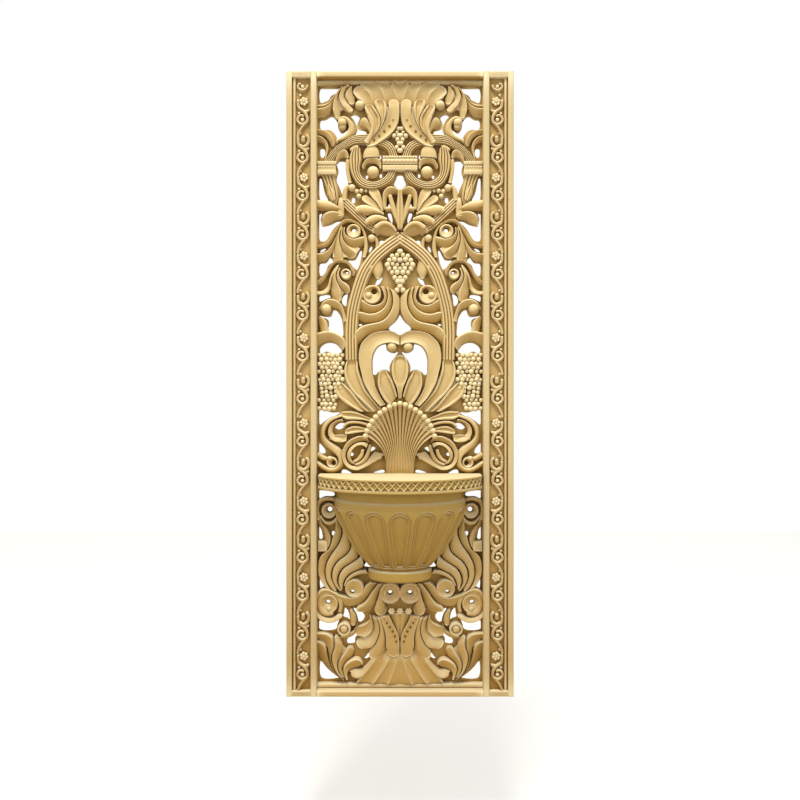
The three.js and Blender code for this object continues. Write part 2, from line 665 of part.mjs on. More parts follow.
/** The block that the rim's ends are cut square by. */
function rimEnds(margin) {
  const side = RIM_END + margin;
  return block([-side, side], [RIM_TOP - RIM_HEIGHT - BAND, RIM_TOP + BAND], DEEPEST, -1);
}

/** The fluted body: sunk panels with rounded tops between plain ribs, above a plain foot. */
function flutedBody() {
  const turns = [0];
  const sunk = [false];
  for (let flute = -4; flute <= 4; flute += 1) {
    const middle = Math.PI * (0.5 + flute / 8);
    [-FLUTE_EDGE, -FLUTE_FLOOR, FLUTE_FLOOR, FLUTE_EDGE].forEach((offset) => {
      const turn = middle + offset;
      if (turn <= 0.01 || turn >= Math.PI - 0.01) return;
      turns.push(turn);
      sunk.push(Math.abs(offset) === FLUTE_FLOOR);
    });
  }
  turns.push(Math.PI);
  sunk.push(false);
  const rings = [[RIM_TOP - 20, NECK_HALF], [BOWL_TOP - 2, NECK_HALF], ...BOWL_PROFILE, ...FOOT_PROFILE]
    .map(([z, half]) => {
      const sink = (i) => (sunk[i] && z < FLUTE_TOP && z > FLUTE_END ? FLUTE_SINK : 0);
      return bowlLevel(z, half, half * BOWL_DEPTH_RATIO, turns, sink);
    });
  return skin(rings);
}

/** The rim: a lattice of crossed bars with sunk diamonds, between two plain fillets. */
function latticedRim() {
  const turns = [];
  for (let i = 0; i <= LATTICE * 2; i += 1) turns.push((i / (LATTICE * 2)) * Math.PI);
  const bottom = RIM_TOP - RIM_HEIGHT;
  const rows = [[RIM_TOP, 0], [RIM_TOP - 5, 0], [(RIM_TOP + bottom) / 2, 1], [bottom + 8, 0]];
  const lattice = rows.slice(1).map(([z]) => z);
  const [half, depth] = RIM_HALF;
  const rings = rows.map(([z]) => bowlLevel(z, half, depth, turns, (i) => {
    const row = lattice.indexOf(z);
    return row >= 0 && (i + row) % 2 ? LATTICE_SINK : 0;
  }));
  rings.push(bowlLevel(bottom + 7, half, depth, turns), bowlLevel(bottom, half - 3, depth - 3, turns));
  return skin(rings, (i, j) => i > 0 && (i + j) % 2 === 0).intersect(rimEnds(0));
}

/** The bowl with its neck, rim and foot: closed on top, with a flat back. */
function makeBowl() {
  return join([flutedBody(), latticedRim()]);
}

// ---------------------------------------------------------------- the finished pieces
const SANDSTONE = { color: '#c3a469', roughness: 0.9, metalness: 0 };
const PALE_SANDSTONE = { color: '#cdb486', roughness: 0.9, metalness: 0 };
const SHADED_SANDSTONE = { color: '#b08b45', roughness: 0.9, metalness: 0 };

/** A named mesh of a solid, lowered so that the wall mount is the origin. */
function piece(name, shape, finish) {
  const { vertProperties, triVerts } = shape.getMesh();
  const geometry = new THREE.BufferGeometry();
  geometry.setAttribute('position', new THREE.BufferAttribute(vertProperties, 3));
  geometry.setIndex(new THREE.BufferAttribute(triVerts, 1));
  geometry.computeVertexNormals();
  const mesh = new THREE.Mesh(geometry, new THREE.MeshStandardMaterial(finish));
  mesh.name = name;
  mesh.position.z = -MOUNT_HEIGHT;
  return mesh;
}

const border = makeBorder();
const panel = new THREE.Group();
panel.add(
  piece('openwork_panel', makeOpenwork(), SANDSTONE),
  piece('left_border', mirrored(border), PALE_SANDSTONE),
  piece('right_border', border, PALE_SANDSTONE),
  piece('bowl', makeBowl(), SHADED_SANDSTONE),
);

export default panel;
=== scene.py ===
"""Visual model of a pierced sandstone relief panel with a vine border and a fluted bowl.

Lengths are millimetres until the last step. A place on the panel is given as [across, height],
across from the upright middle line and height above the foot, and `rise` is how far a surface
stands off the back plane. Carving is worked out for the right half and mirrored.
"""

import logging
import math
from collections.abc import Callable, Sequence
from dataclasses import dataclass
from enum import Enum

import bpy
import numpy as np
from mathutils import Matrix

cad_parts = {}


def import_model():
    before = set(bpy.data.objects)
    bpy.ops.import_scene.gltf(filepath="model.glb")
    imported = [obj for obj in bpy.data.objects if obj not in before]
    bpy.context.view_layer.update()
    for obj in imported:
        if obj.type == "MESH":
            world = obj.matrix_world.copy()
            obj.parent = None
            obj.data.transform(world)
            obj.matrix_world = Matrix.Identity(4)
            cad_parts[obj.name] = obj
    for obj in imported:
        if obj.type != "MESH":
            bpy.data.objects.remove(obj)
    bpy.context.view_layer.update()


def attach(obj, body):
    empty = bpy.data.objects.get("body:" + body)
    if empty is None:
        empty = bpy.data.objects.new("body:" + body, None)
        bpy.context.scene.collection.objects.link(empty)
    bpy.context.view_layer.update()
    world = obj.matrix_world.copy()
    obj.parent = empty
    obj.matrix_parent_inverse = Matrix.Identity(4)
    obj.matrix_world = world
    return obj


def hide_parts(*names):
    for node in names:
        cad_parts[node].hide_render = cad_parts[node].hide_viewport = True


LOG = logging.getLogger("relief_panel")
MM = 0.001
MOUNT_HEIGHT = 600.0  # the origin is this far above the foot
WIDTH = 800.0
HEIGHT = 2200.0
GROUND = 28.0  # thickness of the pierced ground
ROOT = 22.0  # carving starts a little inside the ground
BAND = 20.0
FRAME_RISE = 80.0
FILLET_RISE = 50.0
RAIL_FILLET = 16.0
INNER = 294.0  # where a border meets the centre
JOINT = 0.3  # each piece stands back this far from the plane where two meet
SPREAD = 1.009  # the carving's layout is spread by this much about its middle
SPREAD_HEIGHT = 1100.0
STEP = 5.0  # distance between the stations of a strip
REEDS = 4  # reeds of a reeded strip
BEVEL = 1.5
FACE_SHARE = 0.96  # share of a strip's width that its face takes between the bevels
WALL_SPREAD = 1.05  # the walls stand this much wider at their foot
TIP_DROP = 6.0  # a round tip sinks by this much

Path = Sequence[tuple[float, float]]
Sizes = float | Sequence[float]


# ---------------------------------------------------------------- surfaces
class Cut(Enum):
    """How the face of a carved strip is cut, from edge to edge."""

    ROUND = "half round"
    LOBE = "swelling leaf with crisp edges"
    HOLLOW = "sunk field inside a raised rim"
    DISH = "shallow hollow between two crisp edges"
    SCOOP = "falls away from one crisp raised edge"
    VEINED = "two swellings with a groove between"
    REEDED = "several round reeds side by side"


class End(Enum):
    """How a strip ends."""

    PLAIN = "cut square"
    ROUND = "rounded off"


@dataclass
class Skin:
    """A closed surface: points of [across, rise, height], and faces as lists of point numbers."""

    points: np.ndarray
    quads: np.ndarray
    triangles: np.ndarray

    def volume(self) -> float:
        """Signed volume in the [across, rise, height] frame."""
        p, q = self.points, self.quads
        faces = np.vstack([q[:, [0, 1, 2]], q[:, [0, 2, 3]], self.triangles])
        a, b, c = p[faces[:, 0]], p[faces[:, 1]], p[faces[:, 2]]
        return float(np.einsum("ij,ij->", a, np.cross(b, c)) / 6.0)

    def flipped(self) -> "Skin":
        """The same surface with its faces turned round."""
        return Skin(self.points, self.quads[:, ::-1], self.triangles[:, ::-1])

    def facing_out(self) -> "Skin":
        """The surface turned so that its faces point out once rise becomes -Y."""
        return self if self.volume() < 0 else self.flipped()

    def mirrored(self) -> "Skin":
        """The mirror image across the upright middle line."""
        return Skin(self.points * (-1.0, 1.0, 1.0), self.quads, self.triangles).flipped()

    def spread(self) -> "Skin":
        """The surface spread from the layout sheet to the opening."""
        middle = np.array([0.0, 0.0, SPREAD_HEIGHT])
        return Skin((self.points - middle) * (SPREAD, 1.0, SPREAD) + middle,
                    self.quads, self.triangles)


def merged(skins: Sequence[Skin]) -> Skin:
    """Several surfaces as one."""
    starts = np.cumsum([0] + [len(s.points) for s in skins])
    return Skin(
        np.vstack([s.points for s in skins]),
        np.vstack([s.quads + n for s, n in zip(skins, starts)]),
        np.vstack([s.triangles + n for s, n in zip(skins, starts)]),
    )


def walls(count: int, size: int, round_again: bool = False) -> np.ndarray:
    """Quads between each of `count` closed rings of `size` points and the next.

    Args:
        count: Number of rings.
        size: Number of points of a ring.
        round_again: Whether the last ring is joined to the first.
    """
    i, j = np.meshgrid(np.arange(count if round_again else count - 1), np.arange(size),
                       indexing="ij")
    k, n = (i + 1) % count, (j + 1) % size
    return np.stack([i * size + j, i * size + n, k * size + n, k * size + j], -1).reshape(-1, 4)


def tube(rings: np.ndarray) -> Skin:
    """Closes a stack of closed rings, of shape (rings, points, 3), with a fan at either end."""
    count, size, _ = rings.shape
    points = np.vstack([rings.reshape(-1, 3), rings[0].mean(0), rings[-1].mean(0)])
    j = np.arange(size)
    k = (j + 1) % size
    near = np.stack([np.full(size, count * size), k, j], -1)
    top = (count - 1) * size
    far = np.stack([np.full(size, count * size + 1), top + j, top + k], -1)
    return Skin(points, walls(count, size), np.vstack([near, far])).facing_out()


def bare(rings: np.ndarray, quads: np.ndarray) -> Skin:
    """A surface of quads alone."""
    return Skin(rings.reshape(-1, 3), quads, np.zeros((0, 3), int)).facing_out()


def unit(way: np.ndarray) -> np.ndarray:
    """Directions brought to a length of 1."""
    return way / np.linalg.norm(way, axis=1)[:, None]


def left_of(way: np.ndarray) -> np.ndarray:
    """Directions a quarter turn to the left."""
    return np.stack([-way[:, 1], way[:, 0]], -1)


def read(curve: np.ndarray, marks: np.ndarray, places: np.ndarray) -> np.ndarray:
    """Points at the given places of a curve whose points lie at the given marks."""
    return np.stack([np.interp(places, marks, curve[:, n]) for n in (0, 1)], -1)


def along(curve: np.ndarray, s: np.ndarray) -> np.ndarray:
    """Points of an evenly stepped curve at places s from 0 to 1."""
    return read(curve, np.arange(len(curve)), s * (len(curve) - 1))


def spline(path: Path, count: int = 400) -> tuple[np.ndarray, np.ndarray, float]:
    """A centripetal Catmull-Rom curve through the given points.

    Each point of the curve is blended from four neighbours by the Barry and Goldman pyramid,
    with knots spaced by the square root of the distance between points.

    Returns:
        Points, unit tangents, and the curve's length, at even steps of length.
    """
    p = np.asarray(path, float)
    p = np.vstack([2 * p[0] - p[1], p, 2 * p[-1] - p[-2]])
    knots = np.concatenate([[0.0], np.cumsum(np.sqrt(np.linalg.norm(np.diff(p, axis=0), axis=1)))])
    t = np.linspace(knots[1], knots[-2], count)
    k = np.clip(np.searchsorted(knots, t, side="right") - 1, 1, len(p) - 3)

    def blend(a: np.ndarray, b: np.ndarray, ta: np.ndarray, tb: np.ndarray) -> np.ndarray:
        """Straight blend of two points by how far t lies between their knots."""
        return (a * (tb - t)[:, None] + b * (t - ta)[:, None]) / (tb - ta)[:, None]

    ts = [knots[k + n] for n in (-1, 0, 1, 2)]
    ps = [p[k + n] for n in (-1, 0, 1, 2)]
    first = [blend(ps[n], ps[n + 1], ts[n], ts[n + 1]) for n in range(3)]
    second = [blend(first[n], first[n + 1], ts[n], ts[n + 2]) for n in range(2)]
    curve = blend(second[0], second[1], ts[1], ts[2])
    run = np.concatenate([[0.0], np.cumsum(np.linalg.norm(np.diff(curve, axis=0), axis=1))])
    curve = read(curve, run, np.linspace(0.0, run[-1], count))
    return curve, unit(np.gradient(curve, axis=0)), float(run[-1])


def spaced(values: Sizes, s: np.ndarray) -> np.ndarray:
    """A number, or an evenly spaced list read at places s from 0 to 1."""
    listed = np.atleast_1d(np.asarray(values, float))
    if len(listed) == 1:
        return np.full(len(s), listed[0])
    return np.interp(s, np.linspace(0.0, 1.0, len(listed)), listed)


def smooth(x: np.ndarray) -> np.ndarray:
    """Smooth step: 0 below 0, 1 above 1, 3x^2 - 2x^3 between."""
    x = np.clip(x, 0.0, 1.0)
    return x * x * (3.0 - 2.0 * x)


def lift(cut: Cut, u: np.ndarray, half: np.ndarray, reeds: int, lean: float) -> np.ndarray:
    """How far the face of a strip lies under its full rise, as a negative number.

    Args:
        cut: The kind of cut.
        u: Place across the strip, -1 to 1, of shape (1, n).
        half: Half width of the strip, of shape (m, 1).
        reeds: Number of reeds of a reeded cut.
        lean: -1 or 1, the side of the raised edge of a scooped cut.
    """
    edge = np.abs(u)
    if cut is Cut.ROUND:  # a half ellipse, no deeper than 15
        return -(1.0 - np.sqrt(1.0 - 0.98 * u * u)) * np.minimum(half, 15.0)
    if cut is Cut.HOLLOW:  # rim, smooth wall, flat field
        rim = np.clip(6.0 / half, 0.18, 0.4)
        return -np.minimum(0.45 * half, 9.0) * smooth((1.0 - rim - edge) / (0.7 * rim))
    if cut is Cut.DISH:  # a parabola between the edges
        return -np.minimum(0.3 * half, 6.0) * (1.0 - u * u)
    if cut is Cut.SCOOP:  # a power curve down from the raised edge, which is rounded off
        fall = (1.0 - lean * u) / 2.0
        rim = np.maximum(0.13 - fall, 0.0) / 0.13
        return -np.minimum(half, 17.0) * (0.95 * fall**1.3 + 0.22 * rim**2)
    if cut is Cut.VEINED:  # a swelling less a narrow bell at the middle
        return -np.minimum(0.4 * half, 8.0) * edge**2.2 - 3.5 * np.exp(-((u / 0.13) ** 2))
    if cut is Cut.REEDED:  # round-backed reeds, a gentle swelling over all
        return -6.5 * (1.0 - np.abs(np.sin(np.pi * reeds * (u + 1.0) / 2.0)) ** 0.8) - 4.0 * u * u
    return -np.minimum(0.42 * half, 8.0) * edge**2.2


def carve(at: np.ndarray, across: np.ndarray, ahead: np.ndarray, rise: np.ndarray, cut: Cut,
          lean: float = 1.0, reeds: int = REEDS, foot: float = ROOT) -> Skin:
    """Carries a cut face along a strip and closes it with walls and a back.

    Args:
        at: Middle of the strip at each station, of shape (m, 2).
        across: From the middle to the edge u = 1, of shape (m, 2).
        ahead: How far the middle of the face runs ahead of its edges, of shape (m, 2).
        rise: Rise of the face at each station, of shape (m, 1).
        cut: The cut of the face.
        lean: Side of a scooped cut's raised edge.
        reeds: Number of reeds of a reeded cut.
        foot: Rise at which the walls end.
    """
    half = np.linalg.norm(across, axis=1, keepdims=True)
    u = np.linspace(-1.0, 1.0, 8 * reeds + 1 if cut is Cut.REEDED else 17)[None, :]
    if cut is not Cut.REEDED:
        u = np.sin(u * 0.5 * np.pi) * 0.45 + u * 0.55
    sunk = lift(cut, u, np.maximum(half, 1.0), reeds, lean)
    if cut is Cut.HOLLOW and ahead.any():  # the rim runs on round the tip
        middle = at + ahead
        left = np.linalg.norm(middle[-1] - middle, axis=1)[:, None]
        sunk = sunk * smooth((left - 4.0) / 6.0)
    face = rise + sunk
    base = np.full_like(half, foot)
    face = np.hstack([base, face[:, :1] - BEVEL, face, face[:, -1:] - BEVEL, base])
    u = np.hstack([[[-WALL_SPREAD, -1.0]], u * FACE_SHARE, [[1.0, WALL_SPREAD]]])
    bow = np.sqrt(np.maximum(1.0 - u * u, 0.0))
    x, z = (at[:, n:n + 1] + across[:, n:n + 1] * u + ahead[:, n:n + 1] * bow for n in (0, 1))
    rings = np.stack([x, face, z], -1)
    if ahead.any():
        last = rings[-1:].copy()
        last[..., 1] = foot
        rings = np.concatenate([rings, last])
    return tube(rings)


@dataclass(frozen=True)
class Stroke:
    """A carved strip that follows a bent line.

    Attributes:
        path: Points [across, height] from root to tip.
        half: Half width, a number or a list spread along the strip.
        rise: Rise of its face, a number or a list.
        cut: The cut of its face.
        tip: How the strip ends.
        root: How the strip starts.
        foot: Rise at which its walls end.
    """

    path: Path
    half: Sizes
    rise: Sizes
    cut: Cut = Cut.LOBE
    tip: End = End.ROUND
    root: End = End.PLAIN
    foot: float = ROOT

    def skin(self) -> Skin:
        """The strip's surface.

        A rounded end narrows the strip as sqrt(1 - v^2), with v from 0 to 1 over the last half
        width, and lowers it by the same share of TIP_DROP.
        """
        curve, tangent, length = spline(self.path)
        size = max(6, int(length / STEP))
        sweep = np.sin(np.linspace(0.0, 0.5 * np.pi, 7))[1:]
        low = min(0.45, float(np.atleast_1d(self.half)[0]) / length)
        low = low if self.root is End.ROUND else 0.0
        high = 1.0 - min(0.45, float(np.atleast_1d(self.half)[-1]) / length)
        high = high if self.tip is End.ROUND else 1.0
        s = np.linspace(low, high, size)
        full = np.ones(size)
        round_off = np.sqrt(np.maximum(1.0 - sweep**2, 0.003))
        if self.tip is End.ROUND:
            s = np.concatenate([s, high + (1.0 - high) * sweep])
            full = np.concatenate([full, round_off])
        if self.root is End.ROUND:
            s = np.concatenate([low * (1.0 - sweep[::-1]), s])
            full = np.concatenate([round_off[::-1], full])
        half = (spaced(self.half, s) * full)[:, None]
        rise = (spaced(self.rise, s) - TIP_DROP * (1.0 - full))[:, None]
        at = along(curve, s)
        across = left_of(unit(along(tangent, s))) * half
        return carve(at, across, np.zeros_like(at), rise, self.cut, foot=self.foot)


@dataclass(frozen=True)
class Leaf:
    """A broad carved leaf between two edge lines, each drawn from root to tip.

    Attributes:
        first: The edge at u = 1, which a scooped cut raises.
        second: The edge at u = -1.
        rise: Rise of its face, a number or a list.
        cut: The cut of its face.
        lean: 1 raises the first edge of a scooped cut, -1 the second.
        reeds: Number of reeds of a reeded cut.
        tip: A round tip bulges beyond the ends of the edges by half a width.
        gap: Drawn in from either edge, which leaves a fine groove beside its neighbour.
    """

    first: Path
    second: Path
    rise: Sizes
    cut: Cut = Cut.LOBE
    lean: float = 1.0
    reeds: int = REEDS
    tip: End = End.ROUND
    gap: float = 1.5

    def skin(self) -> Skin:
        """The leaf's surface. The bulge grows by a smooth step over the last 1.5 half widths."""
        (one, _, long), (two, _, short) = spline(self.first), spline(self.second)
        length = (long + short) / 2.0
        s = np.linspace(0.0, 1.0, max(8, int(length / STEP)))
        one, two = along(one, s), along(two, s)
        at, across = (one + two) / 2.0, (one - two) / 2.0
        half = np.linalg.norm(across, axis=1)[:, None]
        across = across * np.maximum(1.0 - self.gap / half, 0.4)
        rise = spaced(self.rise, s)[:, None]
        ahead = np.zeros_like(at)
        if self.tip is End.ROUND:
            way = unit(np.gradient(at, axis=0))
            start = max(0.0, 1.0 - 1.5 * half[-1, 0] / length)
            ramp = smooth((s - start) / (1.0 - start))[:, None]
            ahead = way * ramp * half[-1]
            rise = rise - TIP_DROP * ramp**2
        return carve(at, across, ahead, rise, self.cut, self.lean, self.reeds)


def fan(edges: Sequence[Path], rise: Sizes, step: float = 0.0, cut: Cut = Cut.LOBE,
        gap: float = 1.5) -> list[Leaf]:
    """Leaves between each edge line and the next, their rise changing by `step`."""
    return [Leaf(a, b, np.asarray(rise) + step * n, cut, gap=gap)
            for n, (a, b) in enumerate(zip(edges, edges[1:]))]


def turned(x: float, z: float, profile: Path, segments: int) -> Skin:
    """A round boss turned from a profile of [radius, rise] points."""
    p = np.asarray(profile, float)[:, None, :]
    b = np.linspace(0.0, 2 * np.pi, segments, endpoint=False)[None, :]
    rings = np.stack([x + p[..., 0] * np.cos(b), p[..., 1] + 0 * b, z + p[..., 0] * np.sin(b)], -1)
    return tube(rings)


def ball(x: float, z: float, radius: float, top: float, segments: int = 20) -> Skin:
    """A ball whose front reaches the rise `top`: circles of radius r sin(a), pole to pole."""
    a = np.linspace(0.0, np.pi, segments // 2 + 1)[1:-1]
    circles = np.stack([radius * np.sin(a), top - radius + radius * np.cos(a)], -1)
    skin = turned(x, z, circles, segments)
    skin.points[-2:] = [(x, top, z), (x, top - 2 * radius, z)]
    return skin


def ring(x: float, z: float, radius: float, half: float, rise: float) -> Skin:
    """A half round strip bent into a circle."""
    a = np.radians(np.linspace(0.0, 360.0, 13))
    path = [(x + radius * c, z + radius * s) for c, s in zip(np.cos(a), np.sin(a))]
    return Stroke(path, half, rise, Cut.ROUND, tip=End.PLAIN).skin()


def rosette(x: float, z: float, reach: float, radius: float, top: float,
            start: float = 0.0) -> list[Skin]:
    """Six small balls in a ring, as the petals of a flower, the first at the angle `start`."""
    turn = np.arange(6) * np.pi / 3 + start
    return [ball(x + reach * c, z + reach * s, radius, top, 8)
            for c, s in zip(np.cos(turn), np.sin(turn))]


def block(x: tuple[float, float], z: tuple[float, float], rise: float, low: float = ROOT,
          bevel: float = 2.0) -> Skin:
    """A block with a bevelled front: rectangles at four rises, the last drawn in by the bevel."""
    levels = np.array([[low, 0.0], [rise - bevel, 0.0], [rise - 0.3 * bevel, 0.3 * bevel],
                       [rise, bevel]])
    rings = [[(x[0] + d, y, z[0] + d), (x[1] - d, y, z[0] + d), (x[1] - d, y, z[1] - d),
              (x[0] + d, y, z[1] - d)] for y, d in levels]
    return tube(np.array(rings))


def moulding(face: Path, ends: tuple[float, float], upright: bool) -> Skin:
    """A straight moulding with a flat back, carried between two ends.

    Args:
        face: [place, rise] points of its face, in order of place.
        ends: Where it starts and stops.
        upright: True if it runs up, False if it runs across.
    """
    front = np.asarray(face, float)
    p = np.vstack([front, front[::-1] * (1.0, 0.0)])
    run = np.linspace(ends[0], ends[1], 36)[:, None]
    place, rise, run = np.broadcast_arrays(p[None, :, 0], p[None, :, 1], run)
    points = np.stack([place, rise, run] if upright else [run, rise, place], -1)
    count, size, _ = points.shape
    k = np.arange(len(front) - 1)
    end = np.stack([k + 1, k, size - 1 - k, size - 2 - k], -1)
    return bare(points, np.vstack([walls(count, size), end, end[:, ::-1] + (count - 1) * size]))


def make_mesh(name: str, skins: Sequence[Skin], crease: float = 38.0) -> bpy.types.Object:
    """Puts surfaces into a mesh, in metres, smooth but for edges sharper than the crease angle.

    Args:
        name: Name of the object.
        skins: Its surfaces.
        crease: Angle in degrees.

    Returns:
        The object, at the origin.
    """
    skin = merged(skins)
    p = skin.points
    places = np.stack([p[:, 0], -p[:, 1], p[:, 2] - MOUNT_HEIGHT], -1) * MM
    mesh = bpy.data.meshes.new(name)
    corners = np.concatenate([skin.quads.ravel(), skin.triangles.ravel()])
    sizes = np.concatenate([np.full(len(skin.quads), 4), np.full(len(skin.triangles), 3)])
    mesh.vertices.add(len(places))
    mesh.vertices.foreach_set("co", places.astype(np.float32).ravel())
    mesh.loops.add(len(corners))
    mesh.loops.foreach_set("vertex_index", corners.astype(np.int32))
    mesh.polygons.add(len(sizes))
    mesh.polygons.foreach_set("loop_start", (np.cumsum(sizes) - sizes).astype(np.int32))
    mesh.polygons.foreach_set("use_smooth", np.ones(len(sizes), bool))
    mesh.update(calc_edges=True)
    mesh.validate()
    mesh.set_sharp_from_angle(angle=math.radians(crease))
    piece = bpy.data.objects.new(name, mesh)
    bpy.context.scene.collection.objects.link(piece)
    return piece


# ---------------------------------------------------------------- the finish
def linear(colour: str) -> tuple[float, float, float, float]:
    """An sRGB hex colour as linear red, green, blue and full alpha."""
    parts = [int(colour[n:n + 2], 16) / 255.0 for n in (1, 3, 5)]
    return (*[c / 12.92 if c <= 0.04045 else ((c + 0.055) / 1.055) ** 2.4 for c in parts], 1.0)


def add_node(tree: bpy.types.NodeTree, kind: str, links: dict | None = None,
             **settings: object) -> bpy.types.Node:
    """Adds a node.

    Args:
        tree: The material's tree.
        kind: Type of the node.
        links: For each input, by name or number, its value or the output that feeds it.
        settings: The node's own properties.

    Returns:
        The node.
    """
    node = tree.nodes.new(kind)
    for name, value in settings.items():
        setattr(node, name, value)
    for name, value in (links or {}).items():
        if isinstance(value, bpy.types.NodeSocket):
            tree.links.new(value, node.inputs[name])
        else:
            node.inputs[name].default_value = value
    return node


def add_ramp(tree: bpy.types.NodeTree, factor: bpy.types.NodeSocket,
             stops: Sequence[tuple[float, str]]) -> bpy.types.NodeSocket:
    """Adds a colour ramp through [place, colour] stops and returns its colour."""
    node = add_node(tree, "ShaderNodeValToRGB", {0: factor})
    elements = node.color_ramp.elements
    while len(elements) < len(stops):
        elements.new(0.5)
    for element, (place, colour) in zip(elements, stops):
        element.position = place
        element.color = linear(colour)
    return node.outputs["Color"]


@dataclass(frozen=True)
class Sandstone:
    """Fine sandstone, sawn and carved, then rubbed smooth.

    Fine quartz grit gives a dull, faintly rough face. Painted shade turns the recesses and the
    faces that look down dark brown; a painted highlight turns crisp edges and upper faces cream.

    Attributes:
        name: Name of the material.
        recess_shade: Colour of the painted shade in the recesses.
        body: Colour of the carved faces.
        pale: Colour of open faces.
        bleached: Colour of the painted highlight on crisp edges and upper faces.
        under: Colour of the painted shade on faces that look down.
        low: Tint of the whole at the foot.
        reach: Distance in millimetres over which the painted shade of a recess reaches.
        shade: How much more open a place must be to take on the colours of open faces.
        edge_highlight: How strongly crisp edges take the painted highlight, 0 to 1.
    """

    name: str
    recess_shade: str = "#674712"
    body: str = "#ac8f51"
    pale: str = "#c0a978"
    bleached: str = "#e8dcb8"
    under: str = "#8f6a24"
    low: str = "#ddc9a0"
    reach: float = 34.0
    shade: float = 0.0
    edge_highlight: float = 0.5

    def build(self) -> bpy.types.Material:
        """Makes the material."""
        material = bpy.data.materials.new(self.name)
        material.use_nodes = True
        tree = material.node_tree
        shader = tree.nodes["Principled BSDF"]
        place = add_node(tree, "ShaderNodeTexCoord").outputs["Object"]
        # Cloudy bedding about 60 mm across.
        clouds = add_node(tree, "ShaderNodeTexNoise", {"Vector": place, "Scale": 16.0,
                                                       "Detail": 3.0})
        # Grit of 0.5 mm would not show, so it is drawn about 4 mm across.
        grit = add_node(tree, "ShaderNodeTexNoise", {"Vector": place, "Scale": 260.0,
                                                     "Detail": 4.0, "Roughness": 0.65})
        hollow = add_node(tree, "ShaderNodeAmbientOcclusion", {"Distance": self.reach * MM},
                          samples=8)
        blend = add_node(tree, "ShaderNodeMath", {
            0: clouds.outputs["Fac"], 1: 0.16, 2: hollow.outputs["AO"]}, operation="MULTIPLY_ADD")
        # Painted shade: by ambient occlusion the colour runs from dark brown in the recesses
        # through the body colour to pale on open faces.
        colour = add_ramp(tree, blend.outputs[0], [
            (0.18 + self.shade, self.recess_shade), (0.6 + self.shade, self.body), (1.0, self.pale)])
        # The colour is multiplied darker and warmer towards the foot and a little grey at the top:
        # the whole height is 2.2 m.
        height = add_node(tree, "ShaderNodeSeparateXYZ", {0: place})
        up = add_node(tree, "ShaderNodeMapRange", {
            "Value": height.outputs["Z"], "From Min": -0.6, "From Max": 1.6, "To Min": 0.0,
            "To Max": 1.0})
        height_tint = add_node(tree, "ShaderNodeMix", {
            0: 1.0, 6: colour,
            7: add_ramp(tree, up.outputs["Result"], [(0.0, self.low), (0.45, "#ffffff"),
                                                     (0.75, "#f4f0ea"), (1.0, "#e4e3e2")])},
            data_type="RGBA", blend_type="MULTIPLY")
        colour = height_tint.outputs[2]
        # Painted light: faces that look up turn towards the highlight colour, faces that look down
        # towards the underside colour, and crisp edges, found by pointiness, take the painted
        # highlight.
        geometry = add_node(tree, "ShaderNodeNewGeometry")
        facing = add_node(tree, "ShaderNodeSeparateXYZ", {0: geometry.outputs["Normal"]})
        for source, start, stop, most, tint in (
                (facing.outputs["Z"], 0.08, 0.8, 0.75, self.bleached),
                (facing.outputs["Z"], -0.08, -0.75, 0.8, self.under),
                (geometry.outputs["Pointiness"], 0.515, 0.6, self.edge_highlight, self.bleached)):
            share = add_node(tree, "ShaderNodeMapRange", {
                "Value": source, "From Min": start, "From Max": stop, "To Min": 0.0,
                "To Max": most})
            mix = add_node(tree, "ShaderNodeMix", {0: share.outputs["Result"], 6: colour,
                                                   7: linear(tint)}, data_type="RGBA")
            colour = mix.outputs[2]
        speckle = add_node(tree, "ShaderNodeMix", {
            0: 0.16, 6: colour,
            7: add_ramp(tree, grit.outputs["Fac"], [(0.3, "#8d6a2c"), (0.7, "#f4ead0")])},
            data_type="RGBA", blend_type="OVERLAY")
        tree.links.new(speckle.outputs[2], shader.inputs["Base Color"])
        bump = add_node(tree, "ShaderNodeBump", {
            "Height": grit.outputs["Fac"], "Strength": 0.35, "Distance": 0.0009})
        tree.links.new(bump.outputs["Normal"], shader.inputs["Normal"])
        shader.inputs["Roughness"].default_value = 0.9
        shader.inputs["IOR"].default_value = 1.5
        shader.inputs["Specular IOR Level"].default_value = 0.3
        return material


# ---------------------------------------------------------------- the carving
@dataclass(frozen=True)
class Motif:
    """A part of the carving.

    Attributes:
        strips: Strips of the right half.
        bosses: Balls, rings, grapes and flat beds of the right half.
        middle: What stands on the middle line.
        drilled: Drilled holes of the right half, which have a dark stone of their own as painted
            shade.
    """

    strips: Sequence[Stroke | Leaf] = ()
    bosses: Sequence[Skin] = ()
    middle: Sequence[Skin] = ()
    drilled: Sequence[Skin] = ()

    def skins(self) -> list[Skin]:
        """All surfaces of the carving but for its drilled holes."""
        return paired([*[s.skin() for s in self.strips], *self.bosses], self.middle)


def paired(half: Sequence[Skin], middle: Sequence[Skin] = ()) -> list[Skin]:
    """Surfaces of the right half, their mirror images and the middle, spread to the opening."""
    return [s.spread() for s in [*half, *[s.mirrored() for s in half], *middle]]


def upright(edge: Path, rise: Sizes, cut: Cut, gap: float = 1.5) -> Skin:
    """A leaf on the middle line, from its right edge."""
    return Leaf([(-x, z) for x, z in edge], edge, rise, cut, gap=gap).skin()


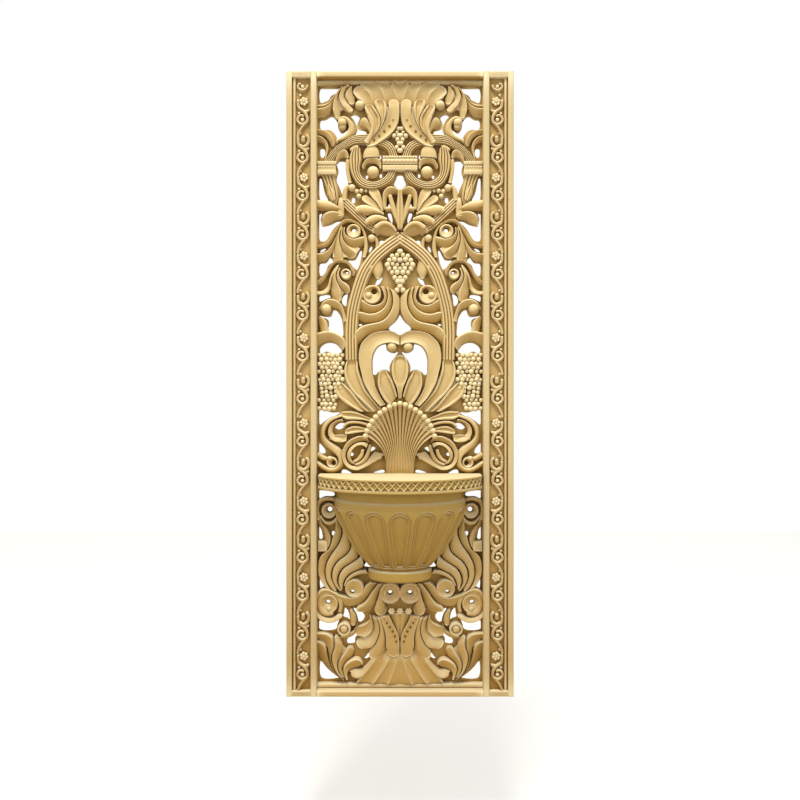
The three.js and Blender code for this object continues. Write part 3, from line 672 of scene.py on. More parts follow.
def eye(at: tuple[float, float], outer: float, hole: tuple[float, float], inner: float,
        rise: float, open_through: bool = True) -> Skin:
    """A bowl-like ring whose hollow runs into an opening that may lie off its middle.

    Args:
        at: Middle of the ring.
        outer: Outer radius.
        hole: Middle of the opening.
        inner: Radius of the opening.
        rise: Rise of the lip.
        open_through: Whether the ring is pierced; otherwise a floor closes it.
    """
    lip = outer - 5.0
    wide = (lip + inner) / 2.0
    profile = [(outer, ROOT, 0.0), (outer, rise - 6, 0.0), (outer - 1.5, rise - 2, 0.0),
               (lip + 1.5, rise, 0.0), (lip - 1.5, rise - 1.5, 0.1), (wide, rise - 6, 0.5),
               (inner + 2.0, rise - 9, 0.9), (inner, rise - 12, 1.0), (inner, ROOT, 1.0)]
    b = np.linspace(0.0, 2 * np.pi, 32, endpoint=False)
    rings = np.array([np.stack([at[0] + (hole[0] - at[0]) * w + r * np.cos(b), y + 0 * b,
                                at[1] + (hole[1] - at[1]) * w + r * np.sin(b)], -1)
                      for r, y, w in profile])
    if open_through:  # the last circle is joined to the first, round a bore
        return bare(rings, walls(len(rings), rings.shape[1], round_again=True))
    return tube(rings)


def prism(ends: Sequence[tuple[np.ndarray, float]]) -> Skin:
    """A solid between two outlines of [across, height] points, each at its own rise."""
    return tube(np.array([np.stack([loop[:, 0], np.full(len(loop), rise), loop[:, 1]], -1)
                          for loop, rise in ends]))


def plate(outline: Path, rise: float, low: float = ROOT) -> Skin:
    """A flat bed under carving, from an outline that can be seen whole from its middle."""
    loop = np.array(outline, float)
    return prism([(loop, low), (loop, rise)])


def pit(x: float, z: float, rise: float) -> Skin:
    """A small drilled hole: its wall and floor, which a dark stone paints in shade."""
    return turned(x, z, [(3.8, rise - 8), (3.8, rise - 0.6), (3.2, rise), (2.6, rise - 1),
                         (2.2, rise - 4), (0.4, rise - 4.4)], 12)


def grapes(span: tuple[float, float],
           sides: Callable[[np.ndarray], tuple[np.ndarray, np.ndarray]],
           radius: float, rise: float, seed: int) -> list[Skin]:
    """A bunch of grapes: balls on a hexagonal grid, each moved a little, between two edges.

    Args:
        span: Lowest and highest grape.
        sides: Gives the inner and outer edge at a height.
        radius: Radius of a grape.
        rise: Rise of the grapes' fronts.
        seed: Seed of the small moves.
    """
    random = np.random.default_rng(seed)
    pitch = radius * 1.85
    rows = np.arange(span[0], span[1] + 1, pitch * 0.88)
    skins = []
    for number, z in enumerate(rows):
        inner, outer = (float(e) for e in sides(np.array(z)))
        start = inner + (radius * 0.6 if number % 2 else radius * 1.45)
        for x in np.arange(start, outer - radius * 0.4, pitch):
            dx, dz, dr = random.uniform(-1.0, 1.0, 3)
            middle = 1.0 - ((x - (inner + outer) / 2) / max(outer - inner, 1.0)) ** 2
            skins.append(ball(x + dx * 2.2, z + dz * 2.2, radius * (1 + 0.12 * dr),
                              rise + 5.0 * dr + 6.0 * middle - 4.0, 10))
    return skins


def crest() -> Motif:
    """The scalloped fan behind the crest and the drilled leaf in front of it."""
    vein = [(100, 1962), (81, 1984), (71, 2000), (67, 2020), (69, 2036), (78, 2053), (88, 2068)]
    holes = [(24, 2025), (37, 2004), (55, 1986), (73, 1970), (91, 1956), (111, 1944)]

    def sides(z: np.ndarray) -> tuple[np.ndarray, np.ndarray]:
        """Inner and outer edge of the bunch."""
        return -1 + 0 * z, np.interp(z, [1904, 1950, 1974, 2010], [10, 20, 34, 6])

    return Motif(strips=[
        *fan([[(11, 2085), (15, 2111), (23, 2134), (31, 2146)],
              [(50, 2080), (57, 2113), (65, 2133), (72, 2145)],
              [(90, 2065), (99, 2103), (110, 2123), (134, 2146)]], (48, 60), cut=Cut.DISH,
             gap=-1.4),
        Leaf([(92, 2065), (99, 2103), (110, 2123), (134, 2143)],
             [(112, 2065), (130, 2095), (146, 2104), (158, 2117)], (48, 60), Cut.DISH, gap=-1.4),
        Leaf([(112, 1932), (90, 1936), (69, 1948), (48, 1963), (30, 1978), (15, 1997), (5, 2020),
              (1, 2046), (0.5, 2078)],
             [(124, 1950), (99, 1960), (76, 1983), (60, 2008), (46, 2032), (39, 2054), (42, 2080)],
             (60, 64, 68), Cut.DISH),
        Leaf([(100, 1958), (76, 1983), (60, 2008), (50, 2038), (45, 2062), (46, 2079)],
             [*vein[:-1], (90, 2078)], (62, 69), Cut.HOLLOW),
        Leaf(vein,
             [(104, 1966), (93, 1984), (94, 2002), (100, 2018), (106, 2032), (116, 2046),
              (123, 2062)], (60, 66), Cut.HOLLOW),
        Leaf([(100, 1990), (103, 2012), (113, 2035)],
             [(106, 1985), (118, 2000), (134, 2003)], 56, Cut.SCOOP),
        Stroke([(118, 1946), (102, 1974), (97, 2000), (103, 2022), (111, 2041)], (9, 7, 5, 4), 65),
    ], bosses=[
        *grapes((1908, 2006), sides, 8.0, 58.0, seed=3),
        plate([(104, 1946), (60, 1960), (20, 2000), (4, 2040), (4, 2078), (44, 2076), (88, 2070),
               (116, 2056), (98, 2015), (98, 1980)], 50),
    ], middle=[
        upright([(10, 2085), (14, 2111), (22, 2134), (30, 2146)], (48, 60), Cut.DISH, -1.4),
    ], drilled=[pit(x, z, 61.2) for x, z in holes])


def corner_sweep() -> Motif:
    """The sweep of long lobes in the top corner, with its hook and two balls."""
    return Motif(strips=[
        Leaf([(198, 2150), (212, 2142), (226, 2123), (238, 2108), (250, 2093), (265, 2086),
              (298, 2083)],
             [(202, 2143), (215, 2128), (229, 2109), (241, 2094), (254, 2082), (268, 2075),
              (298, 2072)], 52, tip=End.PLAIN),
        Leaf([(212, 2134), (229, 2107), (241, 2092), (254, 2080), (268, 2073), (298, 2070)],
             [(213, 2126), (230, 2100), (238, 2080), (242, 2064), (253, 2052), (269, 2044),
              (298, 2040)], 57, Cut.SCOOP, tip=End.PLAIN),
        Leaf([(168, 2142), (167, 2130), (164, 2117), (158, 2110), (158, 2101)],
             [(172, 2145), (182, 2136), (190, 2123), (193, 2109), (185, 2093)], 62, Cut.SCOOP, -1),
        Leaf([(176, 2147), (187, 2137), (195, 2122), (196, 2108), (189, 2093), (177, 2082),
              (168, 2074)],
             [(186, 2149), (203, 2137), (212, 2120), (215, 2106), (211, 2089), (203, 2073),
              (193, 2062)], 64, Cut.SCOOP, -1),
        Leaf([(200, 2143), (215, 2120), (218, 2104), (214, 2087), (209, 2068), (209, 2048)],
             [(206, 2143), (224, 2117), (233, 2098), (237, 2080), (238, 2064), (233, 2046)], 61,
             Cut.SCOOP, -1),
        Leaf([(226, 1948), (190, 1960), (170, 1971), (160, 1984), (158, 2002), (166, 2020),
              (181, 2036), (199, 2042), (216, 2036)],
             [(222, 1960), (199, 1974), (187, 1988), (182, 2002), (184, 2014), (191, 2025),
              (201, 2030), (212, 2027)], 58),
    ], bosses=[
        plate([(166, 2102), (178, 2082), (206, 2066), (232, 2056), (234, 2090), (216, 2120),
               (198, 2138), (176, 2136)], 44),
        ball(141, 2080, 17, 66, 24), ball(203, 2019, 16, 64, 24), ball(202, 2006, 13, 58),
    ])


def collar() -> Motif:
    """The reeded sweep under the crest, its dotted collar and the stems to the border."""
    bands = [block((224, 290), (1870, 1881), 66, bevel=3), block((226, 290), (1850, 1870), 60),
             block((224, 290), (1836, 1850), 66, bevel=4)]
    beads = [ball(x, 1862, 4.4, 63.5, 8) for x in np.arange(231, 288, 9.0)]
    return Motif(strips=[
        Leaf([(108, 1981), (140, 1980), (168, 1974), (197, 1957), (229, 1934), (251, 1909),
              (268, 1880)],
             [(122, 1944), (157, 1941), (181, 1931), (205, 1916), (223, 1898), (232, 1880)], 60,
             Cut.REEDED, reeds=5, tip=End.PLAIN),
        Leaf([(284, 1840), (271, 1810), (259, 1776), (250, 1750), (238, 1722)],
             [(228, 1840), (223, 1810), (217, 1780), (215, 1750), (223, 1722)], 54, Cut.REEDED),
        Stroke([(250, 1800), (241, 1768), (232, 1742)], (4, 14, 6), 60, Cut.VEINED),
        Leaf([(298, 1997), (277, 1996), (259, 1990), (242, 1978), (230, 1958)],
             [(298, 1980), (277, 1978), (264, 1972), (253, 1960), (247, 1944)], 54, Cut.SCOOP),
        Leaf([(298, 1977), (280, 1974), (267, 1966), (256, 1952), (251, 1934), (254, 1912),
              (261, 1886)],
             [(298, 1955), (280, 1951), (268, 1943), (263, 1930), (263, 1910), (268, 1886)], 52,
             Cut.SCOOP),
    ], bosses=[*bands, *beads])


def upper_volutes() -> Motif:
    """The pair of reeded volutes and the tie that holds them together."""
    w = 61.0  # half the width of the tie
    beads = [ball(x, 1896, 5, 64, 10) for x in np.linspace(-w + 5, w - 5, 13)]
    scallops = [ball(x, 1881, 8, 70, 12) for x in np.linspace(-w + 7, w - 7, 9)]
    return Motif(strips=[
        Leaf([(168, 1932), (180, 1898), (179, 1865), (170, 1831), (151, 1802), (126, 1787),
              (99, 1783), (69, 1789), (45, 1801), (24, 1819), (14, 1842)],
             [(138, 1930), (133, 1890), (139, 1866), (139, 1842), (127, 1823), (102, 1813),
              (78, 1816), (57, 1828), (44, 1846)], (58, 62, 58), Cut.REEDED),
        Stroke([(176, 1808), (184, 1850), (184, 1892)], (6, 7), 52),
        Leaf([(179, 1899), (184, 1917), (195, 1926), (209, 1920), (222, 1905), (229, 1887)],
             [(186, 1892), (193, 1897), (200, 1898), (207, 1896), (213, 1892), (216, 1885)], 57,
             Cut.SCOOP),
        Leaf([(72, 1899), (71, 1908)], [(131, 1895), (131, 1906)], 62),
        Leaf([(64, 1862), (66, 1880), (72, 1890), (83, 1896), (99, 1897), (119, 1891),
              (132, 1876)],
             [(72, 1856), (76, 1867), (84, 1874), (95, 1877), (108, 1877), (118, 1871),
              (124, 1860)], 58, Cut.SCOOP),
        Stroke([(22, 1901), (30, 1925), (48, 1943), (84, 1954)], (15, 15, 12), 56, Cut.REEDED),
        Stroke([(145, 1936), (158, 1931), (176, 1921)], (7, 10, 5), 54, root=End.ROUND),
    ], bosses=[
        ball(95, 1846, 22, 62, 24),
    ], middle=[
        block((-w, w), (1851, 1868), 64, bevel=4), block((-w, w), (1871, 1889), 64),
        block((-w, w), (1890, 1901), 58), *beads, *scallops,
    ])


def flower() -> Motif:
    """The open flower on the middle line and the crossing reeds that it rests on."""
    return Motif(strips=[
        Stroke([(199, 1744), (150, 1698), (112, 1662), (70, 1636)], 17, 50, Cut.REEDED,
               tip=End.PLAIN),
        Leaf([(59, 1714), (62, 1745), (60, 1772), (47, 1790), (30, 1795), (14, 1790)],
             [(46, 1716), (46, 1742), (42, 1758), (34, 1765), (24, 1767), (14, 1768)], 62,
             Cut.SCOOP),
        Leaf([(58, 1708), (60, 1738), (65, 1759), (71, 1776)],
             [(66, 1708), (84, 1738), (99, 1755), (109, 1769)], 58, Cut.DISH),
        Leaf([(66, 1708), (84, 1736), (99, 1751), (112, 1761)],
             [(70, 1702), (96, 1720), (114, 1730), (130, 1742)], 60, Cut.DISH),
        Leaf([(58, 1702), (75, 1711), (96, 1722), (114, 1729), (132, 1731), (142, 1728)],
             [(56, 1692), (75, 1696), (93, 1697), (108, 1694), (125, 1693), (138, 1697)], 64),
        Leaf([(46, 1683), (69, 1693), (87, 1695), (104, 1691), (112, 1686)],
             [(46, 1672), (60, 1670), (78, 1669), (93, 1662), (105, 1660)], 66),
        Leaf([(10, 1632), (24, 1650), (42, 1664), (60, 1667), (78, 1659), (91, 1649)],
             [(20, 1618), (42, 1620), (60, 1625), (76, 1628), (88, 1630)], 64, Cut.SCOOP),
        Stroke([(12, 1633), (26, 1650), (44, 1661), (62, 1661), (80, 1650), (88, 1642)],
               (3, 6, 8, 9), 74, root=End.ROUND),
        Stroke([(7, 1665), (20, 1705), (36, 1764)], (5, 9, 6), 66),
        Stroke([(52, 1714), (24, 1714), (6, 1684)], (6, 8, 6), 64, root=End.ROUND),
        Stroke([(197, 1746), (191, 1786), (178, 1800)], (8, 8, 6), 54),
        Leaf([(226, 1730), (250, 1745), (298, 1750)],
             [(196, 1706), (232, 1709), (298, 1713)], 58, tip=End.PLAIN),
        Leaf([(199, 1697), (217, 1706), (241, 1709), (260, 1704), (273, 1692), (276, 1678)],
             [(206, 1681), (228, 1677), (240, 1671), (250, 1666), (258, 1662), (264, 1660)], 58,
             Cut.SCOOP),
        Leaf([(196, 1690), (196, 1730), (198, 1747)], [(222, 1690), (220, 1730), (218, 1745)], 56),
    ], bosses=[
        ball(169, 1790, 13, 60), ball(152, 1778, 8, 56, 14), ball(136, 1780, 8, 56, 14),
        ball(120, 1780, 6, 52, 12), ball(145, 1761, 9, 56, 14),
    ], middle=[
        Stroke([(0, 1640), (0, 1710), (0, 1784)], (9, 13, 6), 70, Cut.VEINED,
               root=End.ROUND).skin(),
    ])


def side_scrolls() -> Motif:
    """The two shell-like scrolls between the arch and the border."""
    return Motif(strips=[
        Leaf([(120, 1546), (113, 1572), (113, 1595), (117, 1620), (124, 1640), (137, 1659),
              (153, 1671), (172, 1679), (191, 1679), (205, 1673), (214, 1663), (227, 1645),
              (240, 1623), (253, 1604), (266, 1594), (298, 1588)],
             [(134, 1546), (129, 1572), (127, 1592), (128, 1614), (133, 1635), (142, 1651),
              (155, 1661), (171, 1668), (188, 1668), (199, 1661), (209, 1647), (222, 1628),
              (236, 1604), (252, 1587), (270, 1580), (298, 1577)], 58, Cut.SCOOP, tip=End.PLAIN),
        Leaf([(206, 1652), (219, 1630), (231, 1606), (243, 1586), (256, 1570), (272, 1562),
              (298, 1559)],
             [(203, 1645), (216, 1620), (226, 1596), (235, 1570), (248, 1547), (265, 1533),
              (298, 1528)], 60, Cut.SCOOP, tip=End.PLAIN),
        Leaf([(208, 1657), (217, 1636), (224, 1611), (230, 1588), (236, 1566), (240, 1550)],
             [(203, 1652), (210, 1630), (212, 1604), (207, 1580), (201, 1560), (198, 1548)], 60,
             Cut.SCOOP, -1),
        Leaf([(203, 1652), (209, 1630), (211, 1604), (206, 1581), (200, 1562), (192, 1548)],
             [(200, 1645), (202, 1625), (197, 1605), (186, 1589), (170, 1579), (158, 1574)], 63,
             Cut.SCOOP, -1),
        Leaf([(199, 1650), (202, 1625), (197, 1605), (186, 1589), (168, 1580), (150, 1578),
              (138, 1582)],
             [(192, 1650), (193, 1636), (188, 1624), (175, 1615), (156, 1612), (142, 1617),
              (131, 1620)], 61, Cut.SCOOP, -1),
        Leaf([(88, 1550), (72, 1580), (74, 1604), (82, 1620)],
             [(100, 1552), (88, 1580), (88, 1600), (92, 1612)], 50),
        Leaf([(298, 1457), (284, 1468), (268, 1484), (255, 1502), (243, 1520), (230, 1533),
              (213, 1539), (194, 1537), (178, 1530), (166, 1518), (158, 1500)],
             [(298, 1446), (280, 1452), (263, 1469), (249, 1494), (237, 1514), (223, 1526),
              (205, 1527), (189, 1522), (179, 1512), (174, 1500), (172, 1486)], 57, Cut.SCOOP),
        Leaf([(298, 1428), (272, 1430), (256, 1446), (249, 1470), (238, 1497), (222, 1518)],
             [(298, 1412), (266, 1414), (250, 1424), (243, 1450), (238, 1474), (216, 1512)], 58,
             Cut.SCOOP, -1),
        Leaf([(222, 1516), (235, 1495), (242, 1470), (245, 1448), (245, 1426), (243, 1412)],
             [(216, 1508), (224, 1486), (223, 1466), (213, 1444), (205, 1426), (203, 1408)], 60,
             Cut.SCOOP, -1),
        Leaf([(215, 1508), (223, 1486), (222, 1467), (213, 1445), (205, 1430), (198, 1421)],
             [(208, 1508), (213, 1490), (210, 1474), (201, 1462), (190, 1456), (182, 1450)], 62,
             Cut.SCOOP, -1),
    ], bosses=[
        eye((163, 1636), 25, (163, 1642), 9, 62), eye((190, 1486), 19, (187, 1493), 6, 60),
        ball(100, 1613, 14, 58),
        plate([(140, 1578), (160, 1550), (200, 1547), (236, 1547), (238, 1580), (222, 1625),
               (208, 1642), (198, 1606), (170, 1592)], 44),
        plate([(184, 1428), (200, 1420), (210, 1402), (240, 1414), (246, 1440), (240, 1488),
               (225, 1508), (214, 1476), (196, 1450)], 42),
    ])


def arch() -> Motif:
    """The reeded gothic arch, the lobe beside it and the large bunch of grapes in it."""

    def sides(z: np.ndarray) -> tuple[np.ndarray, np.ndarray]:
        """Inner and outer edge of the bunch."""
        return -4 + 0 * z, np.where(z > 1525, (1588 - z) * 1.05, 12 + (z - 1425) * 0.54)

    return Motif(strips=[
        Stroke([(-6, 1618), (45, 1583), (88, 1545), (125, 1490), (150, 1420), (166, 1350),
                (171, 1280), (170, 1186)], 22, 62, Cut.REEDED, tip=End.PLAIN),
        Leaf([(70, 1556), (62, 1525), (58, 1500), (66, 1482)],
             [(98, 1540), (104, 1515), (104, 1500), (92, 1484)], 56),
    ], bosses=[
        ball(102, 1510, 12, 60, 16), *grapes((1428, 1574), sides, 9.5, 58.0, seed=7),
    ])


def arch_scroll() -> Motif:
    """The triple scroll under the arch, wound round a ball beside a dark eye."""
    lower = [(39, 1438), (30, 1421), (26, 1400), (27, 1379), (32, 1361), (42, 1343),
             (57, 1327), (75, 1318)]
    middle = [(52, 1444), (45, 1424), (45, 1400), (50, 1382), (60, 1367), (75, 1356),
              (90, 1350), (105, 1348), (120, 1350), (136, 1355), (152, 1355)]
    return Motif(strips=[
        Leaf([*lower, (96, 1314), (120, 1309), (142, 1300), (157, 1285), (164, 1270)],
             [(12, 1424), (1, 1404), (0, 1375), (2, 1354), (9, 1338), (19, 1321), (33, 1305),
              (48, 1294), (66, 1287), (86, 1282), (104, 1277), (122, 1266), (140, 1246)], 63,
             Cut.SCOOP),
        Leaf(middle, [*lower, (96, 1316), (125, 1317), (148, 1326)], 59, Cut.SCOOP),
        Leaf([(70, 1444), (62, 1427), (57, 1409), (60, 1395), (68, 1386), (81, 1380), (96, 1379),
              (111, 1383), (123, 1392), (134, 1400), (148, 1402)],
             middle, 55, Cut.SCOOP),
        Leaf([(66, 1428), (74, 1442), (90, 1449), (108, 1446), (124, 1436), (134, 1420),
              (136, 1406)],
             [(76, 1424), (82, 1434), (92, 1438), (105, 1436), (117, 1429), (124, 1418),
              (127, 1406)], 56),
    ], bosses=[
        ball(111, 1411, 12, 60, 24), eye((99, 1415), 33, (91, 1426), 10, 56, open_through=False),
    ])


def heart() -> Motif:
    """The heart and its ball, and the arms, hooks and grapes between it and the border."""

    def sides(z: np.ndarray) -> tuple[np.ndarray, np.ndarray]:
        """Inner and outer edge of the bunch."""
        return np.interp(z, [1005, 1050, 1110], [222, 222, 198]), 290 + 0 * z

    return Motif(strips=[
        Leaf([(2, 1266), (15, 1279), (33, 1286), (51, 1288), (74, 1285), (102, 1276), (121, 1261),
              (136, 1243), (144, 1215), (145, 1180), (138, 1145), (128, 1108), (113, 1078),
              (97, 1052), (70, 1022)],
             [(2, 1236), (20, 1242), (36, 1244), (50, 1243), (64, 1239), (77, 1232), (89, 1217),
              (97, 1196), (99, 1176), (99, 1152), (95, 1130), (90, 1112), (85, 1088), (72, 1061),
              (50, 1028)], 66, Cut.DISH, tip=End.PLAIN),
        Leaf([(186, 1240), (197, 1262), (218, 1277), (240, 1286), (258, 1288), (298, 1280)],
             [(206, 1214), (214, 1230), (228, 1243), (250, 1250), (268, 1246), (298, 1226)], 57,
             Cut.SCOOP, tip=End.PLAIN),
        Leaf([(252, 1286), (254, 1305), (258, 1322), (268, 1332)],
             [(280, 1278), (284, 1300), (288, 1316), (288, 1326)], 56, Cut.SCOOP),
        Leaf([(184, 1322), (199, 1366), (208, 1384), (223, 1395), (241, 1401), (257, 1398),
              (272, 1389), (283, 1372)],
             [(201, 1318), (204, 1342), (210, 1356), (221, 1365), (236, 1369), (250, 1372),
              (262, 1372), (272, 1364)], 58, Cut.SCOOP),
    ], bosses=[
        ball(28.6, 1230, 17, 68, 24), ball(261, 1363, 20, 63, 24),
        *grapes((1014, 1212), sides, 8.8, 54.0, seed=11),
    ])


def palmette() -> Motif:
    """Broad rimmed leaves that spread from the shell."""
    rise = (56, 62)
    return Motif(strips=[
        Leaf([(9, 1060), (18, 1092), (30, 1120), (42, 1134)],
             [(36, 1020), (60, 1049), (75, 1080), (80, 1108), (75, 1132)], rise, Cut.HOLLOW),
        Leaf([(60, 1004), (99, 1052), (120, 1080), (135, 1116), (144, 1146), (147, 1170)],
             [(98, 1004), (132, 1037), (160, 1064), (181, 1092), (193, 1119), (197, 1149),
              (193, 1168)], rise, Cut.HOLLOW),
        Leaf([(108, 1004), (130, 1025), (151, 1052), (175, 1082), (194, 1098)],
             [(140, 1003), (181, 1025), (205, 1043), (221, 1060), (225, 1078)], rise, Cut.HOLLOW),
        Leaf([(98, 978), (125, 990), (150, 1001), (178, 1006), (197, 1004)],
             [(98, 966), (130, 972), (160, 974), (188, 975), (204, 982)], 56, Cut.HOLLOW),
        Leaf([(108, 940), (130, 948), (150, 952), (172, 951), (184, 945)],
             [(112, 932), (141, 929), (165, 925), (182, 922)], 58, Cut.HOLLOW),
        Stroke([(118, 958), (150, 965), (182, 963), (200, 950)], (4, 5, 4), 54),
    ], bosses=[
        plate([(56, 1000), (95, 1060), (140, 1130), (150, 1168), (192, 1165), (196, 1125),
               (200, 1096), (218, 1076), (202, 1048), (150, 1004)], 42),
    ], middle=[
        upright([(6, 1050), (12, 1085), (24, 1114), (30, 1140), (30, 1160), (26, 1176)], (62, 67),
                Cut.HOLLOW),
    ])


def lower_scrolls() -> Motif:
    """The scrolls on either side of the standing shell."""
    return Motif(strips=[
        Leaf([(205, 994), (238, 984), (258, 973), (273, 955), (282, 930), (281, 905), (270, 885),
              (250, 868), (232, 856), (222, 846), (217, 828), (221, 814), (230, 807), (246, 806),
              (262, 812), (286, 828)],
             [(203, 984), (232, 972), (250, 958), (262, 935), (262, 915), (252, 900), (232, 888),
              (214, 876), (201, 858), (195, 828), (202, 805), (220, 791), (246, 787), (270, 796),
              (294, 812)], 57),
        Leaf([(203, 979), (228, 971), (247, 955), (254, 932), (248, 911), (230, 896), (211, 893)],
             [(200, 968), (214, 966), (228, 958), (236, 944), (235, 928), (225, 918), (206, 916)],
             59, Cut.SCOOP),
        Leaf([(186, 921), (210, 922), (232, 920), (247, 911)],
             [(190, 898), (211, 893), (230, 896), (243, 903)], 54, Cut.DISH),
        Leaf([(118, 916), (145, 918), (169, 909), (187, 896), (199, 878), (205, 853), (202, 829),
              (193, 813), (178, 801), (151, 795), (126, 804), (102, 816), (78, 830), (60, 846)],
             [(106, 892), (120, 898), (145, 897), (163, 890), (181, 875), (190, 854), (187, 833),
              (178, 819), (160, 812), (135, 819), (117, 833), (102, 851), (88, 862), (72, 858)],
             60, Cut.SCOOP),
        Leaf([(112, 892), (122, 896), (145, 896), (162, 889), (179, 874), (188, 854), (185, 834),
              (177, 822), (162, 815)],
             [(118, 874), (132, 883), (148, 882), (160, 874), (169, 862), (174, 848), (172, 838),
              (168, 830), (160, 824)], 57, Cut.SCOOP, -1),
        Stroke([(104, 886), (111, 860), (121, 838), (137, 823), (158, 815)], (5, 7, 4), 58),
        Stroke([(130, 870), (136, 848), (150, 832), (164, 826)], (5, 7, 4), 55),
        Stroke([(292, 852), (268, 838), (252, 836)], (9, 8, 6), 50),
    ], bosses=[
        eye((239, 823), 20, (233, 821), 8, 54, open_through=False), ball(247, 837, 10, 57),
    ])


def standing_shell() -> Motif:
    """The shell that stands on the rim of the bowl, its folds flaring like a trumpet.

    Across the fan, v runs from -1 to 1 and up it t runs from 0 to 1. The foot lies at 48 v.
    Across goes from foot to lip as t^(1.8 + 1.5 |v|). The rise is 56 + 58 t^2.2, less a valley
    between folds that deepens to the lip. A bead stands on the end of every fold.
    """
    folds = 18
    foot = 784.0

    def lip(v: np.ndarray) -> tuple[np.ndarray, np.ndarray]:
        """Across and height of the lip at v."""
        return 122 * np.sin(v * 1.36), 1036 - 112 * np.abs(v) ** 1.5

    v = np.linspace(-1.0, 1.0, folds * 12 + 1)[None, :]
    t = np.linspace(0.0, 1.0, 56)[:, None]
    tip_x, tip_z = lip(v)
    ridge = np.abs(np.cos(np.pi * folds * (v + 1.0) / 2.0))
    x = 48 * v + (tip_x - 48 * v) * t ** (1.8 + 1.5 * np.abs(v))
    z = foot + (tip_z - foot) * t
    rise = 56 + 58 * t**2.2 - (1.6 + 10.4 * t**1.7) * (1.0 - ridge) ** 1.6
    front = np.stack([x, rise, z], -1)
    back = np.stack([x[:, ::-1], np.full_like(x, ROOT), z[:, ::-1]], -1)
    beads = [ball(float(across), float(height) - 4.0, 10.0, 117.0, 14)
             for across, height in zip(*lip(np.linspace(-1.0, 1.0, folds + 1)))]
    return Motif(middle=[tube(np.concatenate([front, back], 1)), *beads])


def swirls() -> Motif:
    """Leaves and scrolls that wrap the lower side of the bowl."""
    return Motif(strips=[
        Leaf([(224, 698), (258, 704), (288, 692), (299, 655), (296, 618)],
             [(230, 684), (258, 688), (278, 678), (284, 655), (280, 626)], 52, tip=End.PLAIN),
        Leaf([(284, 650), (272, 606), (256, 588), (246, 570), (242, 552), (248, 528), (258, 515)],
             [(300, 650), (288, 602), (277, 582), (269, 565), (268, 550), (276, 540), (288, 530)],
             52, Cut.SCOOP, tip=End.PLAIN),
        Leaf([(224, 634), (240, 618), (262, 618), (278, 634)],
             [(224, 612), (244, 602), (264, 606), (274, 616)], 54),
        Leaf([(226, 634), (228, 600), (230, 580), (238, 560), (243, 540), (251, 520), (262, 508),
              (276, 498), (287, 480), (290, 455), (288, 430), (280, 410), (267, 390), (254, 376)],
             [(212, 638), (208, 607), (205, 577), (211, 552), (221, 531), (236, 510), (252, 485),
              (262, 460), (264, 434), (260, 409), (250, 388), (242, 378)], 58, Cut.SCOOP),
        *fan([[(198, 640), (205, 607), (203, 577), (210, 552), (221, 531), (236, 510), (252, 485),
               (262, 460), (264, 434), (259, 409), (248, 388), (238, 374)],
              [(180, 590), (174, 562), (172, 545), (174, 525), (184, 506), (200, 492), (216, 480),
               (229, 464), (238, 445), (240, 424), (235, 404), (224, 384)],
              [(150, 530), (145, 515), (145, 500), (150, 488), (163, 477), (182, 465), (202, 451),
               (215, 430), (219, 409), (215, 390), (206, 378)]], 60, 1.5, gap=2.3),
        Leaf([(136, 500), (150, 486), (163, 477), (182, 465), (202, 450), (214, 430), (218, 409),
              (213, 388)],
             [(126, 462), (132, 453), (142, 449), (154, 443), (175, 432), (191, 415), (198, 399),
              (200, 384)], 63, gap=2.3),
        Leaf([(120, 448), (135, 448), (154, 443), (174, 432), (191, 415), (198, 398)],
             [(110, 432), (122, 432), (138, 430), (154, 425), (169, 417), (182, 405), (190, 392)],
             62, gap=2.3),
    ], bosses=[
        eye((250, 654), 27, (248, 657), 11, 56), block((256, 290), (510, 547), 54, bevel=7),
        eye((160, 382), 33, (167, 369), 7, 62),
    ])


def foot_scrolls() -> Motif:
    """Scrolls, volutes and small flowers under the bowl."""
    return Motif(strips=[
        Leaf([(104, 404), (124, 388), (131, 376), (140, 363), (152, 354), (170, 350), (193, 354),
              (217, 362), (238, 374), (256, 382), (275, 380), (292, 364), (302, 340), (302, 305),
              (290, 278), (268, 264), (248, 260), (226, 264), (206, 276)],
             [(78, 400), (93, 380), (105, 363), (116, 346), (131, 330), (152, 319), (178, 316),
              (198, 320), (212, 332), (222, 348), (234, 362), (252, 368), (270, 364), (283, 350),
              (290, 328), (288, 304), (277, 288), (262, 280), (246, 278), (230, 282), (218, 292)],
             61, Cut.SCOOP),
        Stroke([(212, 296), (208, 322), (216, 348), (236, 364), (262, 364), (282, 346), (286, 322),
                (276, 298), (256, 290), (234, 294)], (6, 8, 8, 6), 56, root=End.ROUND),
        Leaf([(78, 398), (92, 379), (104, 363), (115, 345), (130, 329), (148, 320)],
             [(58, 398), (69, 378), (75, 360), (80, 342), (88, 321), (97, 308)], 63, Cut.SCOOP),
        Leaf([(58, 398), (69, 378), (75, 360), (80, 342), (87, 322), (91, 310)],
             [(24, 398), (48, 384), (62, 366), (61, 345), (54, 325), (46, 306)], 65, Cut.SCOOP),
        Leaf([(178, 306), (176, 278), (178, 262)], [(168, 306), (156, 286), (152, 262)], 54),
        Leaf([(150, 262), (160, 236), (180, 222), (200, 218)],
             [(150, 240), (160, 216), (180, 205), (200, 202)], 52, Cut.SCOOP),
    ], bosses=[
        eye((252, 327), 34, (253, 331), 8, 56), ball(250, 309, 9, 60, 16),
        turned(197, 238,
               [(24, ROOT), (24, 54), (21, 59), (17, 59), (15, 53), (13, 56), (8, 60), (3, 61),
                (0.5, 61)], 28),
        eye((35, 365), 37, (35, 365), 9, 61), ring(35, 365, 20, 4.5, 59),
        ball(30, 303, 4.6, 67, 10), *rosette(30, 303, 7, 4.6, 63),
    ])


